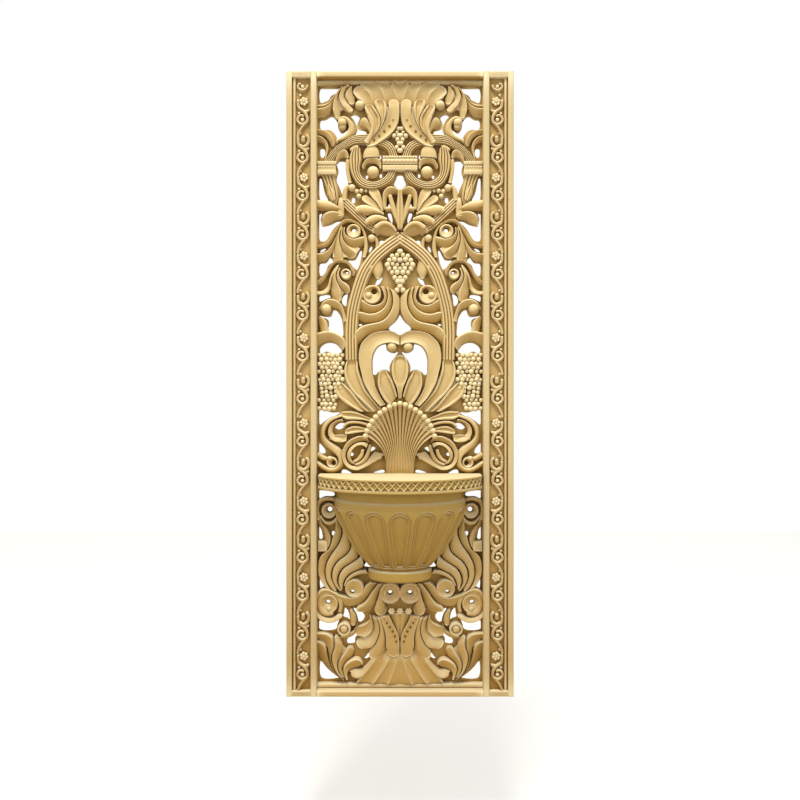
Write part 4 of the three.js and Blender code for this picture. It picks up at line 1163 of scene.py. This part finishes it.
def foot_leaves() -> Motif:
    """The hanging leaf, the scrolling leaf of the corner and the fan at the foot."""
    outer = [(196, 54), (211, 63), (232, 75), (250, 89), (265, 105), (275, 118), (286, 134),
             (298, 150)]
    holes = [(57, 274), (46, 262), (36, 247), (26, 232), (18, 215), (13, 197)]
    return Motif(strips=[
        Leaf([(40, 46), (30, 72), (18, 105), (8, 134)],
             [(98, 46), (75, 72), (54, 105), (34, 134)], 55, Cut.DISH, gap=-1.6),
        Leaf([(92, 48), (75, 72), (54, 105), (34, 142)],
             [(150, 50), (132, 71), (114, 90), (99, 108), (76, 142)], 55, Cut.DISH, gap=-1.6),
        Leaf([(108, 290), (108, 270), (120, 258), (135, 251), (147, 246)],
             [(100, 280), (95, 248), (99, 230), (111, 217), (126, 210), (141, 212)], 55, Cut.DISH),
        Leaf([(99, 282), (94, 246), (98, 229), (110, 216), (126, 207), (141, 204)],
             [(81, 276), (72, 247), (72, 226), (78, 205), (88, 184), (104, 170), (120, 166)], 58,
             Cut.SCOOP, -1),
        Leaf([(82, 280), (72, 247), (72, 226), (77, 205), (87, 184), (101, 168), (108, 160)],
             [(66, 280), (58, 253), (54, 232), (50, 208), (50, 186), (48, 168), (50, 158)], 61,
             gap=1.0),
        Leaf([(70, 284), (60, 253), (54, 232), (50, 208), (50, 184), (47, 164)],
             [(36, 284), (24, 256), (12, 235), (5, 218), (0.5, 190), (0.5, 163)], 64, Cut.DISH),
        Leaf(outer,
             [(198, 56), (217, 72), (232, 87), (244, 105), (252, 129), (257, 151), (260, 169),
              (267, 185), (279, 194), (298, 198)], 50, Cut.SCOOP, -1, tip=End.PLAIN),
        Leaf([(197, 58), (216, 74), (231, 89), (243, 107), (250, 130), (254, 152), (258, 172),
              (266, 188), (278, 198), (298, 203)],
             [(200, 62), (212, 74), (224, 86), (235, 106), (241, 126), (242, 148), (234, 172),
              (232, 190), (238, 212), (258, 224), (298, 226)], 57, Cut.SCOOP, -1, tip=End.PLAIN),
        Leaf([(203, 66), (221, 84), (233, 106), (239, 126), (239, 148), (231, 172), (229, 190),
              (231, 206)],
             [(202, 72), (214, 87), (219, 102), (220, 117), (213, 136), (203, 152), (200, 170),
              (204, 190)], 60, Cut.SCOOP),
        Leaf([(202, 74), (212, 87), (217, 102), (217, 117), (210, 135), (199, 151), (190, 168)],
             [(192, 66), (199, 85), (202, 100), (196, 115), (184, 127), (170, 138), (162, 152)],
             58, Cut.SCOOP),
        Leaf([(190, 62), (198, 86), (200, 101), (194, 115), (181, 127), (165, 135), (150, 137),
              (138, 131), (130, 120)],
             [(182, 64), (184, 80), (176, 93), (162, 99), (150, 102), (142, 106), (140, 110),
              (140, 114), (142, 117)], 62, Cut.SCOOP),
        Leaf([(176, 92), (158, 96), (145, 95), (132, 99), (118, 111), (108, 124), (99, 139)],
             [(171, 86), (172, 75), (160, 65), (145, 64), (132, 70), (114, 89), (99, 107),
              (84, 129)], 58, Cut.SCOOP, -1),
    ], bosses=[
        plate([(70, 280), (98, 276), (100, 245), (132, 232), (130, 208), (112, 176), (100, 166),
               (10, 168), (8, 215), (38, 276)], 40),
        plate([(200, 62), (240, 110), (256, 170), (290, 205), (290, 222), (240, 218), (225, 190),
               (205, 180), (176, 150), (196, 110)], 38),
    ], middle=[
        Stroke([(0, 294), (0, 204)], (38, 5), 54, Cut.VEINED).skin(),
        upright([(44, 44), (30, 72), (18, 105), (10, 138)], 55, Cut.DISH, -1.6),
        ball(0, 303, 4.6, 67, 10), *rosette(0, 303, 7, 4.6, 63),
    ], drilled=[pit(x, z, 61.2 + 0.016 * (274 - z)) for x, z in holes])


# ---------------------------------------------------------------- the pierced ground
OPENINGS: list[Path] = [
    [(281, 2147), (207, 2147), (225, 2130), (245, 2118), (250, 2107), (262, 2100), (281, 2095)],
    [(281, 2033), (265, 2036), (240, 2048), (220, 2026), (217, 2005), (205, 1989), (186, 2000),
     (186, 1985), (200, 1975), (222, 1958), (226, 1975), (245, 1997), (281, 2002)],
    [(175, 2047), (160, 2054), (142, 2043), (150, 2020), (147, 2005), (118, 1993), (120, 1985),
     (157, 1982), (152, 2000), (153, 2010), (165, 2035)],
    [(281, 1932), (268, 1932), (264, 1918), (265, 1910), (275, 1900), (281, 1905)],
    [(224, 1885), (190, 1886), (184, 1860), (182, 1815), (195, 1790), (196, 1763), (202, 1764),
     (213, 1790), (226, 1823), (219, 1850)],
    [(284, 1829), (279, 1829), (265, 1775), (254, 1752), (255, 1742), (270, 1743), (283, 1752)],
    [(286, 1702), (275, 1703), (280, 1680), (270, 1661), (245, 1665), (225, 1675), (208, 1676),
     (235, 1648), (255, 1615), (265, 1605), (283, 1606)],
    [(284, 1566), (278, 1576), (262, 1580), (268, 1570)],
    [(107, 1582), (100, 1588), (98, 1580), (105, 1568), (110, 1566)],
    [(72, 1606), (62, 1609), (54, 1602), (62, 1594), (72, 1590)],
    [(33, 1705), (43, 1704), (41, 1690), (34, 1676), (28, 1668), (26, 1682), (29, 1696)],
    [(183, 1538), (160, 1540), (140, 1573), (134, 1572), (138, 1540), (143, 1520), (153, 1503),
     (165, 1512), (178, 1525)],
    [(284, 1525), (262, 1530), (247, 1548), (235, 1533), (252, 1520), (262, 1497), (275, 1482),
     (283, 1482)],
    [(88, 1450), (80, 1470), (62, 1478), (68, 1460), (78, 1450)],
    [(285, 1410), (250, 1415), (245, 1407), (262, 1400), (284, 1392)],
    [(185, 1418), (200, 1412), (206, 1388), (192, 1375), (187, 1400)],
    [(235, 1362), (222, 1358), (207, 1335), (201, 1300), (201, 1270), (208, 1267), (228, 1280),
     (250, 1287), (258, 1292), (253, 1305), (255, 1325), (270, 1333), (283, 1330), (283, 1343),
     (270, 1340), (245, 1340)],
    [(205, 1212), (211, 1227), (229, 1243), (256, 1246), (277, 1235), (285, 1221), (280, 1206),
     (259, 1214), (238, 1206)],
    [(112, 1262), (125, 1258), (138, 1240), (143, 1224), (136, 1228), (128, 1240), (118, 1252)],
    [(50, 1241), (75, 1233), (89, 1215), (97, 1191), (98, 1161), (95, 1133), (87, 1131),
     (75, 1142), (60, 1150), (44, 1147), (36, 1142), (36, 1161), (28, 1180), (15, 1198),
     (7, 1209), (7, 1215), (20, 1210), (35, 1213), (46, 1222)],
    [(284, 1123), (277, 1120), (277, 1097), (284, 1095), (288, 1110)],
    [(285, 1008), (268, 1008), (240, 1000), (212, 1000), (220, 990), (245, 980), (265, 968),
     (284, 955)],
    [(193, 960), (211, 962), (224, 954), (230, 946), (217, 938), (200, 945), (189, 953)],
    [(285, 890), (274, 881), (264, 866), (264, 856), (273, 853), (285, 855)],
    [(203, 868), (212, 867), (220, 866), (214, 858), (207, 861)],
    [(98, 878), (104, 870), (104, 860), (98, 863), (90, 868), (87, 874)],
    [(64, 845), (73, 845), (83, 838), (88, 831), (76, 831), (67, 837)],
    [(54, 787), (56, 795), (66, 796), (80, 792), (95, 786)],
    [(208, 785), (203, 797), (193, 797), (180, 791), (171, 784)],
    [(287, 723), (280, 724), (233, 716), (231, 706), (240, 702), (265, 702), (285, 695)],
    [(285, 597), (280, 590), (275, 570), (273, 556), (279, 550), (285, 552)],
    [(127, 455), (117, 472), (108, 475), (102, 462), (105, 452), (118, 452)],
    [(283, 415), (275, 400), (264, 386), (281, 374)],
    [(286, 262), (271, 262), (250, 258), (229, 262), (215, 265), (220, 250), (227, 231),
     (286, 232)],
    [(181, 292), (187, 302), (195, 308), (198, 290), (201, 277), (186, 271), (178, 265)],
    [(124, 279), (127, 268), (136, 258), (147, 258), (150, 270), (156, 288), (165, 302),
     (164, 308), (151, 303), (133, 293)],
    [(186, 182), (187, 197), (172, 209), (157, 219), (147, 216), (158, 200), (159, 184)],
    [(127, 130), (118, 127), (109, 134), (106, 149), (113, 147), (119, 138)],
    [(281, 120), (275, 116), (264, 102), (249, 86), (231, 72), (214, 62), (218, 58), (279, 60)],
]
# Small round openings: [across, height, half width, half height].
EYES = [(171, 2134, 3, 3), (72, 1903, 6, 9), (117, 1833, 5, 7), (68, 1837, 5, 8),
        (165, 1750, 7, 11), (38, 1731, 4, 7), (163, 1642, 8, 8), (187, 1492, 6, 6),
        (140, 1309, 6, 4), (172, 851, 8, 7), (248, 657, 9, 9), (236, 571, 6, 9),
        (167, 368, 6, 7), (254, 331, 8, 8), (35, 365, 7, 7)]
MIDDLE_OPENINGS: list[Path] = [
    [(-10, 1838), (10, 1838), (15, 1825), (22, 1805), (8, 1790), (0, 1774), (-8, 1790),
     (-22, 1805), (-15, 1825)],
    [(0, 1345), (10, 1330), (18, 1320), (40, 1298), (38, 1290), (20, 1283), (0, 1272),
     (-20, 1283), (-38, 1290), (-40, 1298), (-18, 1320), (-10, 1330)],
]


@dataclass(frozen=True)
class PiercedGround:
    """The slab that the carving stands on, with its openings.

    Attributes:
        name: Name of the piece.
        half: Half width of the slab.
        back: Rise of its back, a little in front of the borders' backs.
        crease: Angle in degrees from which its edges are crisp.
        front_draft: Spread of the openings at the front.
        back_draft: Spread of the openings at the back.
        inset: The openings are cut this much smaller than drawn.
        inset_share: The most that is taken off, as a share of an opening's smaller side.
        edge: Where the openings end, a little short of the borders.
    """

    name: str = "pierced_ground"
    half: float = INNER - JOINT
    back: float = 0.6
    crease: float = 30.0
    front_draft: float = SPREAD
    back_draft: float = 1.018
    inset: float = 1.2
    inset_share: float = 0.03
    edge: float = 291.0

    def cutter(self, outline: Path) -> Skin:
        """A prism through the slab: a smooth closed outline, wider at the back than in front.

        The curve runs a little more than once round, so that it passes the first point once in
        either half of its length. Only what lies between is kept.
        """
        middle = 400
        curve, _, _ = spline([*outline[-2:], *outline, *outline[:3]], 2 * middle)
        away = np.linalg.norm(curve - np.array(outline[0]), axis=1)
        start, stop = np.argmin(away[:middle]), middle + np.argmin(away[middle:])
        count = 6 * len(outline)
        loop = read(curve, np.arange(len(curve)), np.linspace(start, stop, count, endpoint=False))
        inset = min(self.inset, self.inset_share * float(np.ptp(loop, axis=0).min()))
        ahead, behind = np.roll(loop, -1, axis=0), np.roll(loop, 1, axis=0)
        turn = np.sign(np.sum(loop[:, 0] * ahead[:, 1] - ahead[:, 0] * loop[:, 1]))
        loop = loop + turn * inset * left_of(unit(ahead - behind))
        ends = []
        for scale, rise in ((self.front_draft, GROUND + 1), (self.back_draft, -1.0)):
            x = np.clip(loop[:, 0] * scale, -self.edge, self.edge)
            z = SPREAD_HEIGHT + (loop[:, 1] - SPREAD_HEIGHT) * scale
            ends.append((np.stack([x, z], -1), rise))
        return prism(ends)

    def openings(self) -> list[Skin]:
        """Cutters of every opening."""
        turn = np.arange(8) * np.pi / 4
        eyes = [list(zip(x + w * np.cos(turn), z + h * np.sin(turn))) for x, z, w, h in EYES]
        half = [self.cutter(o) for o in [*OPENINGS, *eyes]]
        return [*half, *[c.mirrored() for c in half], *[self.cutter(o) for o in MIDDLE_OPENINGS]]

    def build(self) -> bpy.types.Object:
        """Cuts the openings out of the slab."""
        whole = block((-self.half, self.half), (BAND, HEIGHT - BAND), GROUND, self.back, 0.0)
        slab = make_mesh(self.name, [whole], self.crease)
        cutter = make_mesh("openings", self.openings())
        tool = slab.modifiers.new("openings", "BOOLEAN")
        tool.operation = "DIFFERENCE"
        tool.solver = "MANIFOLD"
        tool.object = cutter
        graph = bpy.context.evaluated_depsgraph_get()
        mesh = bpy.data.meshes.new_from_object(slab.evaluated_get(graph))
        slab.modifiers.clear()
        slab.data = mesh
        bpy.data.objects.remove(cutter)
        mesh.shade_smooth()
        mesh.set_sharp_from_angle(angle=math.radians(self.crease))
        return slab


@dataclass(frozen=True)
class Rails:
    """Top and bottom rails of the centre: an outer band and a softly rounded inner fillet."""

    name: str = "rails"
    half: float = INNER - JOINT
    crease: float = 60.0

    def profile(self) -> list[tuple[float, float]]:
        """The rail's section as [distance from the panel's end, rise] points."""
        return [(0, FRAME_RISE - 3), (1, FRAME_RISE - 1), (3, FRAME_RISE),
                (BAND - 3, FRAME_RISE), (BAND - 1, FRAME_RISE - 1), (BAND, FRAME_RISE - 3),
                (BAND + 0.2, FILLET_RISE - 3), (BAND + 2, FILLET_RISE - 2),
                (BAND + 3, FILLET_RISE), (BAND + RAIL_FILLET - 4, FILLET_RISE),
                (BAND + RAIL_FILLET - 1, FILLET_RISE - 2),
                (BAND + RAIL_FILLET, FILLET_RISE - 5)]

    def skins(self) -> list[Skin]:
        """Both rails."""
        foot = self.profile()
        top = [(HEIGHT - d, r) for d, r in reversed(foot)]
        ends = (-self.half, self.half)
        return [moulding(foot, ends, False), moulding(top, ends, False)]


# ---------------------------------------------------------------- the borders
@dataclass(frozen=True)
class VineBorder:
    """A border: fillet, vine in a sunk channel, bead and outer band.

    Attributes:
        name: Name of the piece.
        inner: Where its inner side stands.
        channel: Where the channel starts and ends.
        channel_rise: Rise of the channel's ground.
        bead: Where the bead starts and ends.
        bead_rise: Rise of the bead.
        vine_rise: Rise of the vine.
        flowers: Heights of the flowers, with a bud halfway between each and the next.
    """

    name: str
    inner: float = INNER + JOINT
    channel: tuple[float, float] = (315.0, 367.0)
    channel_rise: float = 58.0
    bead: tuple[float, float] = (368.0, 378.0)
    bead_rise: float = 70.0
    vine_rise: float = 74.0
    flowers: tuple[float, ...] = (140, 418, 686, 962, 1263, 1552, 1829, 2097)

    def frame(self) -> list[Skin]:
        """The mouldings."""
        outer = WIDTH / 2
        low, high = self.channel
        left, right = self.bead
        body = [
            (self.inner, FRAME_RISE - 3), (self.inner + 1, FRAME_RISE - 1),
            (self.inner + 3, FRAME_RISE), (low - 4, FRAME_RISE), (low - 1, FRAME_RISE - 2),
            (low, FRAME_RISE - 5), (low + 0.2, self.channel_rise), (high, self.channel_rise),
            (left, self.bead_rise - 4), (left + 2, self.bead_rise - 1),
            (left + 5, self.bead_rise), (right - 2, self.bead_rise - 1),
            (right, self.bead_rise - 4), (outer - BAND, self.bead_rise - 6),
            (outer - BAND + 0.2, FRAME_RISE - 3), (outer - BAND + 1, FRAME_RISE - 1),
            (outer - BAND + 3, FRAME_RISE), (outer - 3, FRAME_RISE), (outer - 1, FRAME_RISE - 1),
            (outer, FRAME_RISE - 3)]
        span = (low - 0.5, outer - BAND + 2.5)
        return [moulding(body, (0.0, HEIGHT), True),
                block(span, (0.5, BAND), FRAME_RISE - 0.3),
                block(span, (HEIGHT - BAND, HEIGHT - 0.5), FRAME_RISE - 0.3)]

    def stroke(self, path: Path, half: Sizes, rise: float | None = None) -> Skin:
        """A fine round strip of the vine, standing on the channel's ground."""
        top = self.vine_rise if rise is None else rise
        return Stroke(path, half, top, Cut.ROUND, root=End.ROUND,
                      foot=self.channel_rise - 2).skin()

    def motif(self, m: float, flower: bool) -> list[Skin]:
        """One repeat of the vine, under and at the height m: a flower or a bud, and a spiral."""
        s = m - 65
        skins = [
            self.stroke([(360, m + 6), (357, m - 22), (338, m - 38), (327, s + 6), (329, s - 9),
                         (345, s - 17), (359, s - 8), (361, s + 3), (350, s + 15),
                         (338, s + 11)], (5.2, 6.0, 5.6, 4.4)),
            self.stroke([(336, s - 16), (350, s - 34), (360, s - 58), (360, m - 134)], (4.4, 5.4)),
            self.stroke([(345, m - 33), (330, m - 36), (320, m - 30)], (4, 7, 4), 71),
            ball(344, s, 7.4, self.vine_rise, 10), ball(356, s + 25, 5.2, 70, 8),
            ball(329, s + 26, 5.0, 69, 8), ball(352, m + 23, 5.0, 70, 8),
        ]
        if flower:
            skins += [*rosette(339, m, 10, 6.4, 73, 0.3), ball(339, m, 5.0, 76, 8)]
        else:
            skins += [
                self.stroke([(331, m + 17), (322, m + 2), (326, m - 18), (341, m - 27),
                             (355, m - 19)], (5, 7, 5)),
                self.stroke([(341, m + 12), (342, m - 12)], (6, 9), 75),
            ]
        return skins

    def skins(self, left: bool) -> list[Skin]:
        """All surfaces of one border."""
        parts = self.frame()
        for low, high in zip(self.flowers, self.flowers[1:]):
            parts += self.motif(low, True) + self.motif((low + high) / 2.0, False)
        top = self.flowers[-1]
        parts += self.motif(top, True) + [
            self.stroke([(327, top + 58), (329, top + 46), (345, top + 38), (359, top + 47),
                         (358, top + 58), (348, top + 62)], (4, 5.4, 4)),
            ball(344, top + 52, 7, self.vine_rise, 10)]
        return [s.mirrored() for s in parts] if left else parts


# ---------------------------------------------------------------- the bowl
@dataclass(frozen=True)
class Bowl:
    """The fluted bowl with its latticed rim and its foot.

    Attributes:
        name: Name of the piece.
        back: Rise of its flat back.
        rim_top: Height of its top.
        rim_height: Height of the rim.
        rim_plan: Half width and depth of the rim's ellipse.
        rim_end: Where the ellipse is cut square.
        rim_foot: Height of the rim's lower moulding.
        rim_fillet: Height of the fillet on top of the rim.
        bar_height: Height in which a bar of the lattice moves on by one pitch.
        depth_ratio: Depth of the body for its half width.
        diamonds: Number of diamonds along the rim.
        flute_middle: Angle between flutes, in degrees.
        flute_half: Half the angle of a flute, in degrees.
        flute_sink: Depth of a flute's field under its line.
        flute_top: Height of a flute's top.
        flute_foot: Height of a flute's foot.
        flute_end: No flute is cut nearer to the wall than this angle, in radians.
        arch_half: Half width of the body for which a flute's top is a half circle.
        field: Distance from a flute's outline to its field.
        line: Half width of the raised lines.
        soft: Heights between which the profile is smoothed.
        rows: Number of levels of the body.
        columns: Number of points of a level.
        profile: Height and half width of the body, from its foot up.
    """

    name: str = "bowl_body"
    back: float = FILLET_RISE + JOINT
    rim_top: float = 783.0
    rim_height: float = 46.0
    rim_plan: tuple[float, float] = (300.0, 232.0)
    rim_end: float = 284.0
    rim_foot: float = 9.0
    rim_fillet: float = 5.0
    bar_height: float = 30.5
    depth_ratio: float = 0.79
    diamonds: int = 27
    flute_middle: float = 22.5
    flute_half: float = 10.5
    flute_sink: float = 9.0
    flute_top: float = 670.0
    flute_foot: float = 462.0
    flute_end: float = 0.12
    arch_half: float = 226.0
    field: float = 9.0
    line: float = 1.8
    soft: tuple[float, float] = (474.0, 688.0)
    rows: int = 184
    columns: int = 337
    profile: tuple[tuple[float, float], ...] = (
        (412, 104), (414, 109), (418, 112), (430, 114), (444, 113), (448, 110), (450, 106),
        (452, 99), (455, 104), (460, 109), (474, 120), (500, 146), (520, 161), (530, 168),
        (545, 176), (565, 187), (600, 208), (636, 226), (662, 234), (676, 234.5), (690, 233),
        (696, 231), (699, 227), (700, 226), (740, 226))

    def level(self, half: np.ndarray, depth: np.ndarray, z: np.ndarray, turn: np.ndarray,
              sink: np.ndarray) -> np.ndarray:
        """Half ellipses stacked in height, drawn in by `sink`, closed by the flat back."""
        scale = 1.0 - sink / np.maximum(half, 1.0)
        return np.stack([half * scale * np.cos(turn), self.back + depth * scale * np.sin(turn),
                         z + 0 * turn], -1)

    def body(self) -> Skin:
        """Neck, fluted body and foot.

        A flute is a sunk panel: straight sides at a fixed angle from its middle, and a round
        arch on top. The surface sinks by one smooth step at its outline and by a deeper one
        where its field starts. A raised line runs along either step.
        """
        height, width = np.array(self.profile, float).T
        z = np.linspace(height[0], height[-1], self.rows)[:, None]
        half = np.interp(z[:, 0], height, width)[:, None]
        soft = half[:, 0]
        for _ in range(3):
            soft = np.convolve(np.pad(soft, 6, mode="edge"), np.ones(13) / 13, "valid")
        half = np.where((z > self.soft[0]) & (z < self.soft[1]), soft[:, None], half)
        turn = np.linspace(0.0, np.pi, self.columns)[None, :]
        step = math.radians(self.flute_middle)
        offset = (turn + step / 2) % step - step / 2
        run = half * np.sqrt(np.sin(turn) ** 2 + (self.depth_ratio * np.cos(turn)) ** 2)
        across = np.abs(offset) * run
        panel = math.radians(self.flute_half) * run
        top_panel = math.radians(self.flute_half) * self.arch_half * run / half
        spring = self.flute_top - top_panel
        inside = np.where(z > spring, top_panel - np.hypot(across, z - spring), panel - across)
        inside = np.minimum(inside, (z - self.flute_foot) * 1.2)
        at_wall = (turn <= self.flute_end) | (turn >= np.pi - self.flute_end)
        inside = np.where(at_wall, -self.field, inside)
        sink = self.flute_sink * smooth((inside - self.field) / 6.0) + 3.0 * smooth(inside / 3.0)
        for place, rise in ((0.5, 3.2), (self.field, 3.4)):
            sink -= rise * np.exp(-((inside - place) / self.line) ** 2)
        return tube(self.level(half, half * self.depth_ratio, z, turn, sink))

    def rim(self) -> Skin:
        """The rim: crossed bars round sunk diamonds, between a fillet and a lower moulding.

        With u the distance along the rim in pitches and w the height over the band's middle in
        the same measure, a bar stands where u + w or u - w lies halfway between whole numbers.
        The ends are cut square.
        """
        half, depth = self.rim_plan
        first = math.acos(self.rim_end / half)
        turn = np.linspace(first, math.pi - first, 700)[None, :]
        bottom = self.rim_top - self.rim_height
        low, high = bottom + self.rim_foot, self.rim_top - self.rim_fillet
        z = np.concatenate([np.linspace(bottom, low, 7), np.linspace(low + 0.5, high, 34),
                            np.linspace(high + 0.5, self.rim_top, 4)])[:, None]
        speed = np.sqrt((half * np.sin(turn)) ** 2 + (depth * np.cos(turn)) ** 2)
        steps = (speed[0, 1:] + speed[0, :-1]) / 2 * np.diff(turn[0])
        run = np.concatenate([[0.0], np.cumsum(steps)])
        pitch = run[-1] / self.diamonds
        up = (z - (low + high) / 2) / self.bar_height
        u = run[None, :] / pitch
        nearest = np.minimum(np.abs((u + up) % 1.0 - 0.5), np.abs((u - up) % 1.0 - 0.5))
        gap = smooth((nearest - 0.07) / 0.09)
        band = smooth((z - low) / 1.5) * smooth((high - z) / 1.5)
        sink = 6.5 * gap * band + 1.2 * band
        half_foot = self.rim_foot / 2
        lower = (z - bottom - half_foot) / half_foot
        sink = np.where(z < low, 3.5 * (1 - np.sqrt(np.clip(1 - lower**2, 0, 1))), sink)
        rings = self.level(np.full_like(z, half), np.full_like(z, depth), z, turn, sink)
        rings[..., 0] = np.clip(rings[..., 0], -self.rim_end, self.rim_end)
        corners = np.stack([np.stack([np.full(len(z), x), np.full(len(z), self.back), z[:, 0]], -1)
                            for x in (-self.rim_end, self.rim_end)], 1)
        return tube(np.concatenate([rings, corners], 1))

    def backing(self) -> Skin:
        """The thicker ground behind the bowl: its outline drawn in by 6 mm."""
        side = [(278, 777), (278, 743), (220, 743), (220, 700), (230, 690), (230, 662),
                (218, 632), (190, 580), (155, 520), (114, 474), (92, 452), (106, 448),
                (108, 424), (98, 412)]
        outline = [*side, *[(-x, z) for x, z in reversed(side)]]
        return plate(outline, FILLET_RISE, GROUND / 2)


# ---------------------------------------------------------------- the scene
LENS = 37.14  # on a sensor 36 mm wide
CAMERA = (0.0, -2.98, 0.5)  # metres, as all of the scene
LAMP = (-0.4, -2.0, 4.3)
LAMP_AIM = (0.0, 0.0, 0.5)
LAMP_SIZE = 1.6
LAMP_WATTS = 185.0
FLOOR_HALF = 6.0
FLOOR_HEIGHT = -1.1


def place_camera() -> None:
    """Sets the camera straight in front of the panel, level with its middle."""
    data = bpy.data.cameras.new("camera")
    data.lens = LENS
    data.sensor_width = 36.0
    data.shift_y = -0.02
    camera = bpy.data.objects.new("camera", data)
    camera.location = CAMERA
    camera.rotation_euler = (math.pi / 2, 0.0, 0.0)
    bpy.context.scene.collection.objects.link(camera)
    bpy.context.scene.camera = camera


def light_scene() -> None:
    """A bright pale sky, a large soft lamp overhead in front, and a pale floor."""
    scene = bpy.context.scene
    scene.view_settings.view_transform = "Standard"
    world = bpy.data.worlds.new("sky")
    scene.world = world
    world.use_nodes = True
    sky = world.node_tree.nodes["Background"]
    sky.inputs["Color"].default_value = (1.0, 1.0, 1.0, 1.0)
    sky.inputs["Strength"].default_value = 1.0
    lamp = bpy.data.lights.new("overhead", "AREA")
    lamp.size = LAMP_SIZE
    lamp.energy = LAMP_WATTS
    lamp.color = (1.0, 0.97, 0.9)
    holder = bpy.data.objects.new("overhead", lamp)
    holder.location = LAMP
    aim = np.array(LAMP_AIM) - np.array(holder.location)
    holder.rotation_euler = (math.atan2(math.hypot(aim[0], aim[1]), -aim[2]), 0.0,
                             math.atan2(-aim[0], aim[1]))
    scene.collection.objects.link(holder)
    material = bpy.data.materials.new("pale_floor")
    material.use_nodes = True
    shader = material.node_tree.nodes["Principled BSDF"]
    shader.inputs["Base Color"].default_value = linear("#f7f6f2")
    shader.inputs["Roughness"].default_value = 0.9
    mesh = bpy.data.meshes.new("floor")
    corners = [(x * FLOOR_HALF, y * FLOOR_HALF, FLOOR_HEIGHT)
               for x, y in ((-1, -1), (1, -1), (1, 1), (-1, 1))]
    mesh.from_pydata(corners, [], [(0, 1, 2, 3)])
    mesh.materials.append(material)
    floor = bpy.data.objects.new("floor", mesh)
    scene.collection.objects.link(floor)


def settle(piece: bpy.types.Object, stone: bpy.types.Material, node: str) -> None:
    """Gives a piece its stone and body, hides the node that it stands for, and reports it."""
    piece.data.materials.clear()
    piece.data.materials.append(stone)
    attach(piece, "root")
    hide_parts(node)
    mesh = piece.data
    triangles = len(mesh.loops) - 2 * len(mesh.polygons)
    LOG.info("%s: %d triangles", piece.name, triangles)


def main() -> None:
    """Builds every part, dresses it and sets the scene."""
    logging.basicConfig(level=logging.INFO, format="%(message)s")
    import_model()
    centre = Sandstone("carved_sandstone").build()
    ground = Sandstone("ground_sandstone", edge_highlight=0.0).build()
    # A dark stone for the drilled holes: painted shade inside them.
    hole_shade = Sandstone("hole_shadow_sandstone", recess_shade="#3c2806", body="#4f370f", pale="#62481a",
                       bleached="#7a5c28", edge_highlight=0.0).build()
    border = Sandstone("border_sandstone", body="#bc9d60", pale="#b3a074").build()
    # The bowl's stone is darker and its recess shade reaches further: painted shade under the rim
    # and over the body.
    shaded = Sandstone("bowl_sandstone", recess_shade="#4e3204", body="#98803e", pale="#ad9454",
                       bleached="#e2d6b0", under="#7d5714", low="#e6cf96", reach=110.0,
                       shade=0.1, edge_highlight=0.15).build()
    carvings = {
        "crest_carving": [crest(), corner_sweep(), collar(), upper_volutes(), flower()],
        "arch_carving": [side_scrolls(), arch(), arch_scroll(), heart()],
        "shell_carving": [palmette(), lower_scrolls(), standing_shell()],
        "foot_carving": [swirls(), foot_scrolls(), foot_leaves()],
    }
    pieces = [(make_mesh(name, [s for motif in motifs for s in motif.skins()]), centre)
              for name, motifs in carvings.items()]
    holes = [s for motifs in carvings.values() for motif in motifs
             for s in paired(motif.drilled)]
    rails, bowl = Rails(), Bowl()
    pieces += [(make_mesh("drilled_holes", holes), hole_shade),
               (PiercedGround().build(), ground),
               (make_mesh(rails.name, rails.skins(), rails.crease), centre),
               (make_mesh("bowl_backing", [bowl.backing()]), ground)]
    for piece, stone in pieces:
        settle(piece, stone, "openwork_panel")
    for side in ("left", "right"):
        vine = VineBorder(f"{side}_vine_border")
        settle(make_mesh(vine.name, vine.skins(side == "left")), border,
               f"{side}_border")
    settle(make_mesh(bowl.name, [bowl.body(), bowl.rim()]), shaded, "bowl")
    place_camera()
    light_scene()


if __name__ == "__main__":
    main()
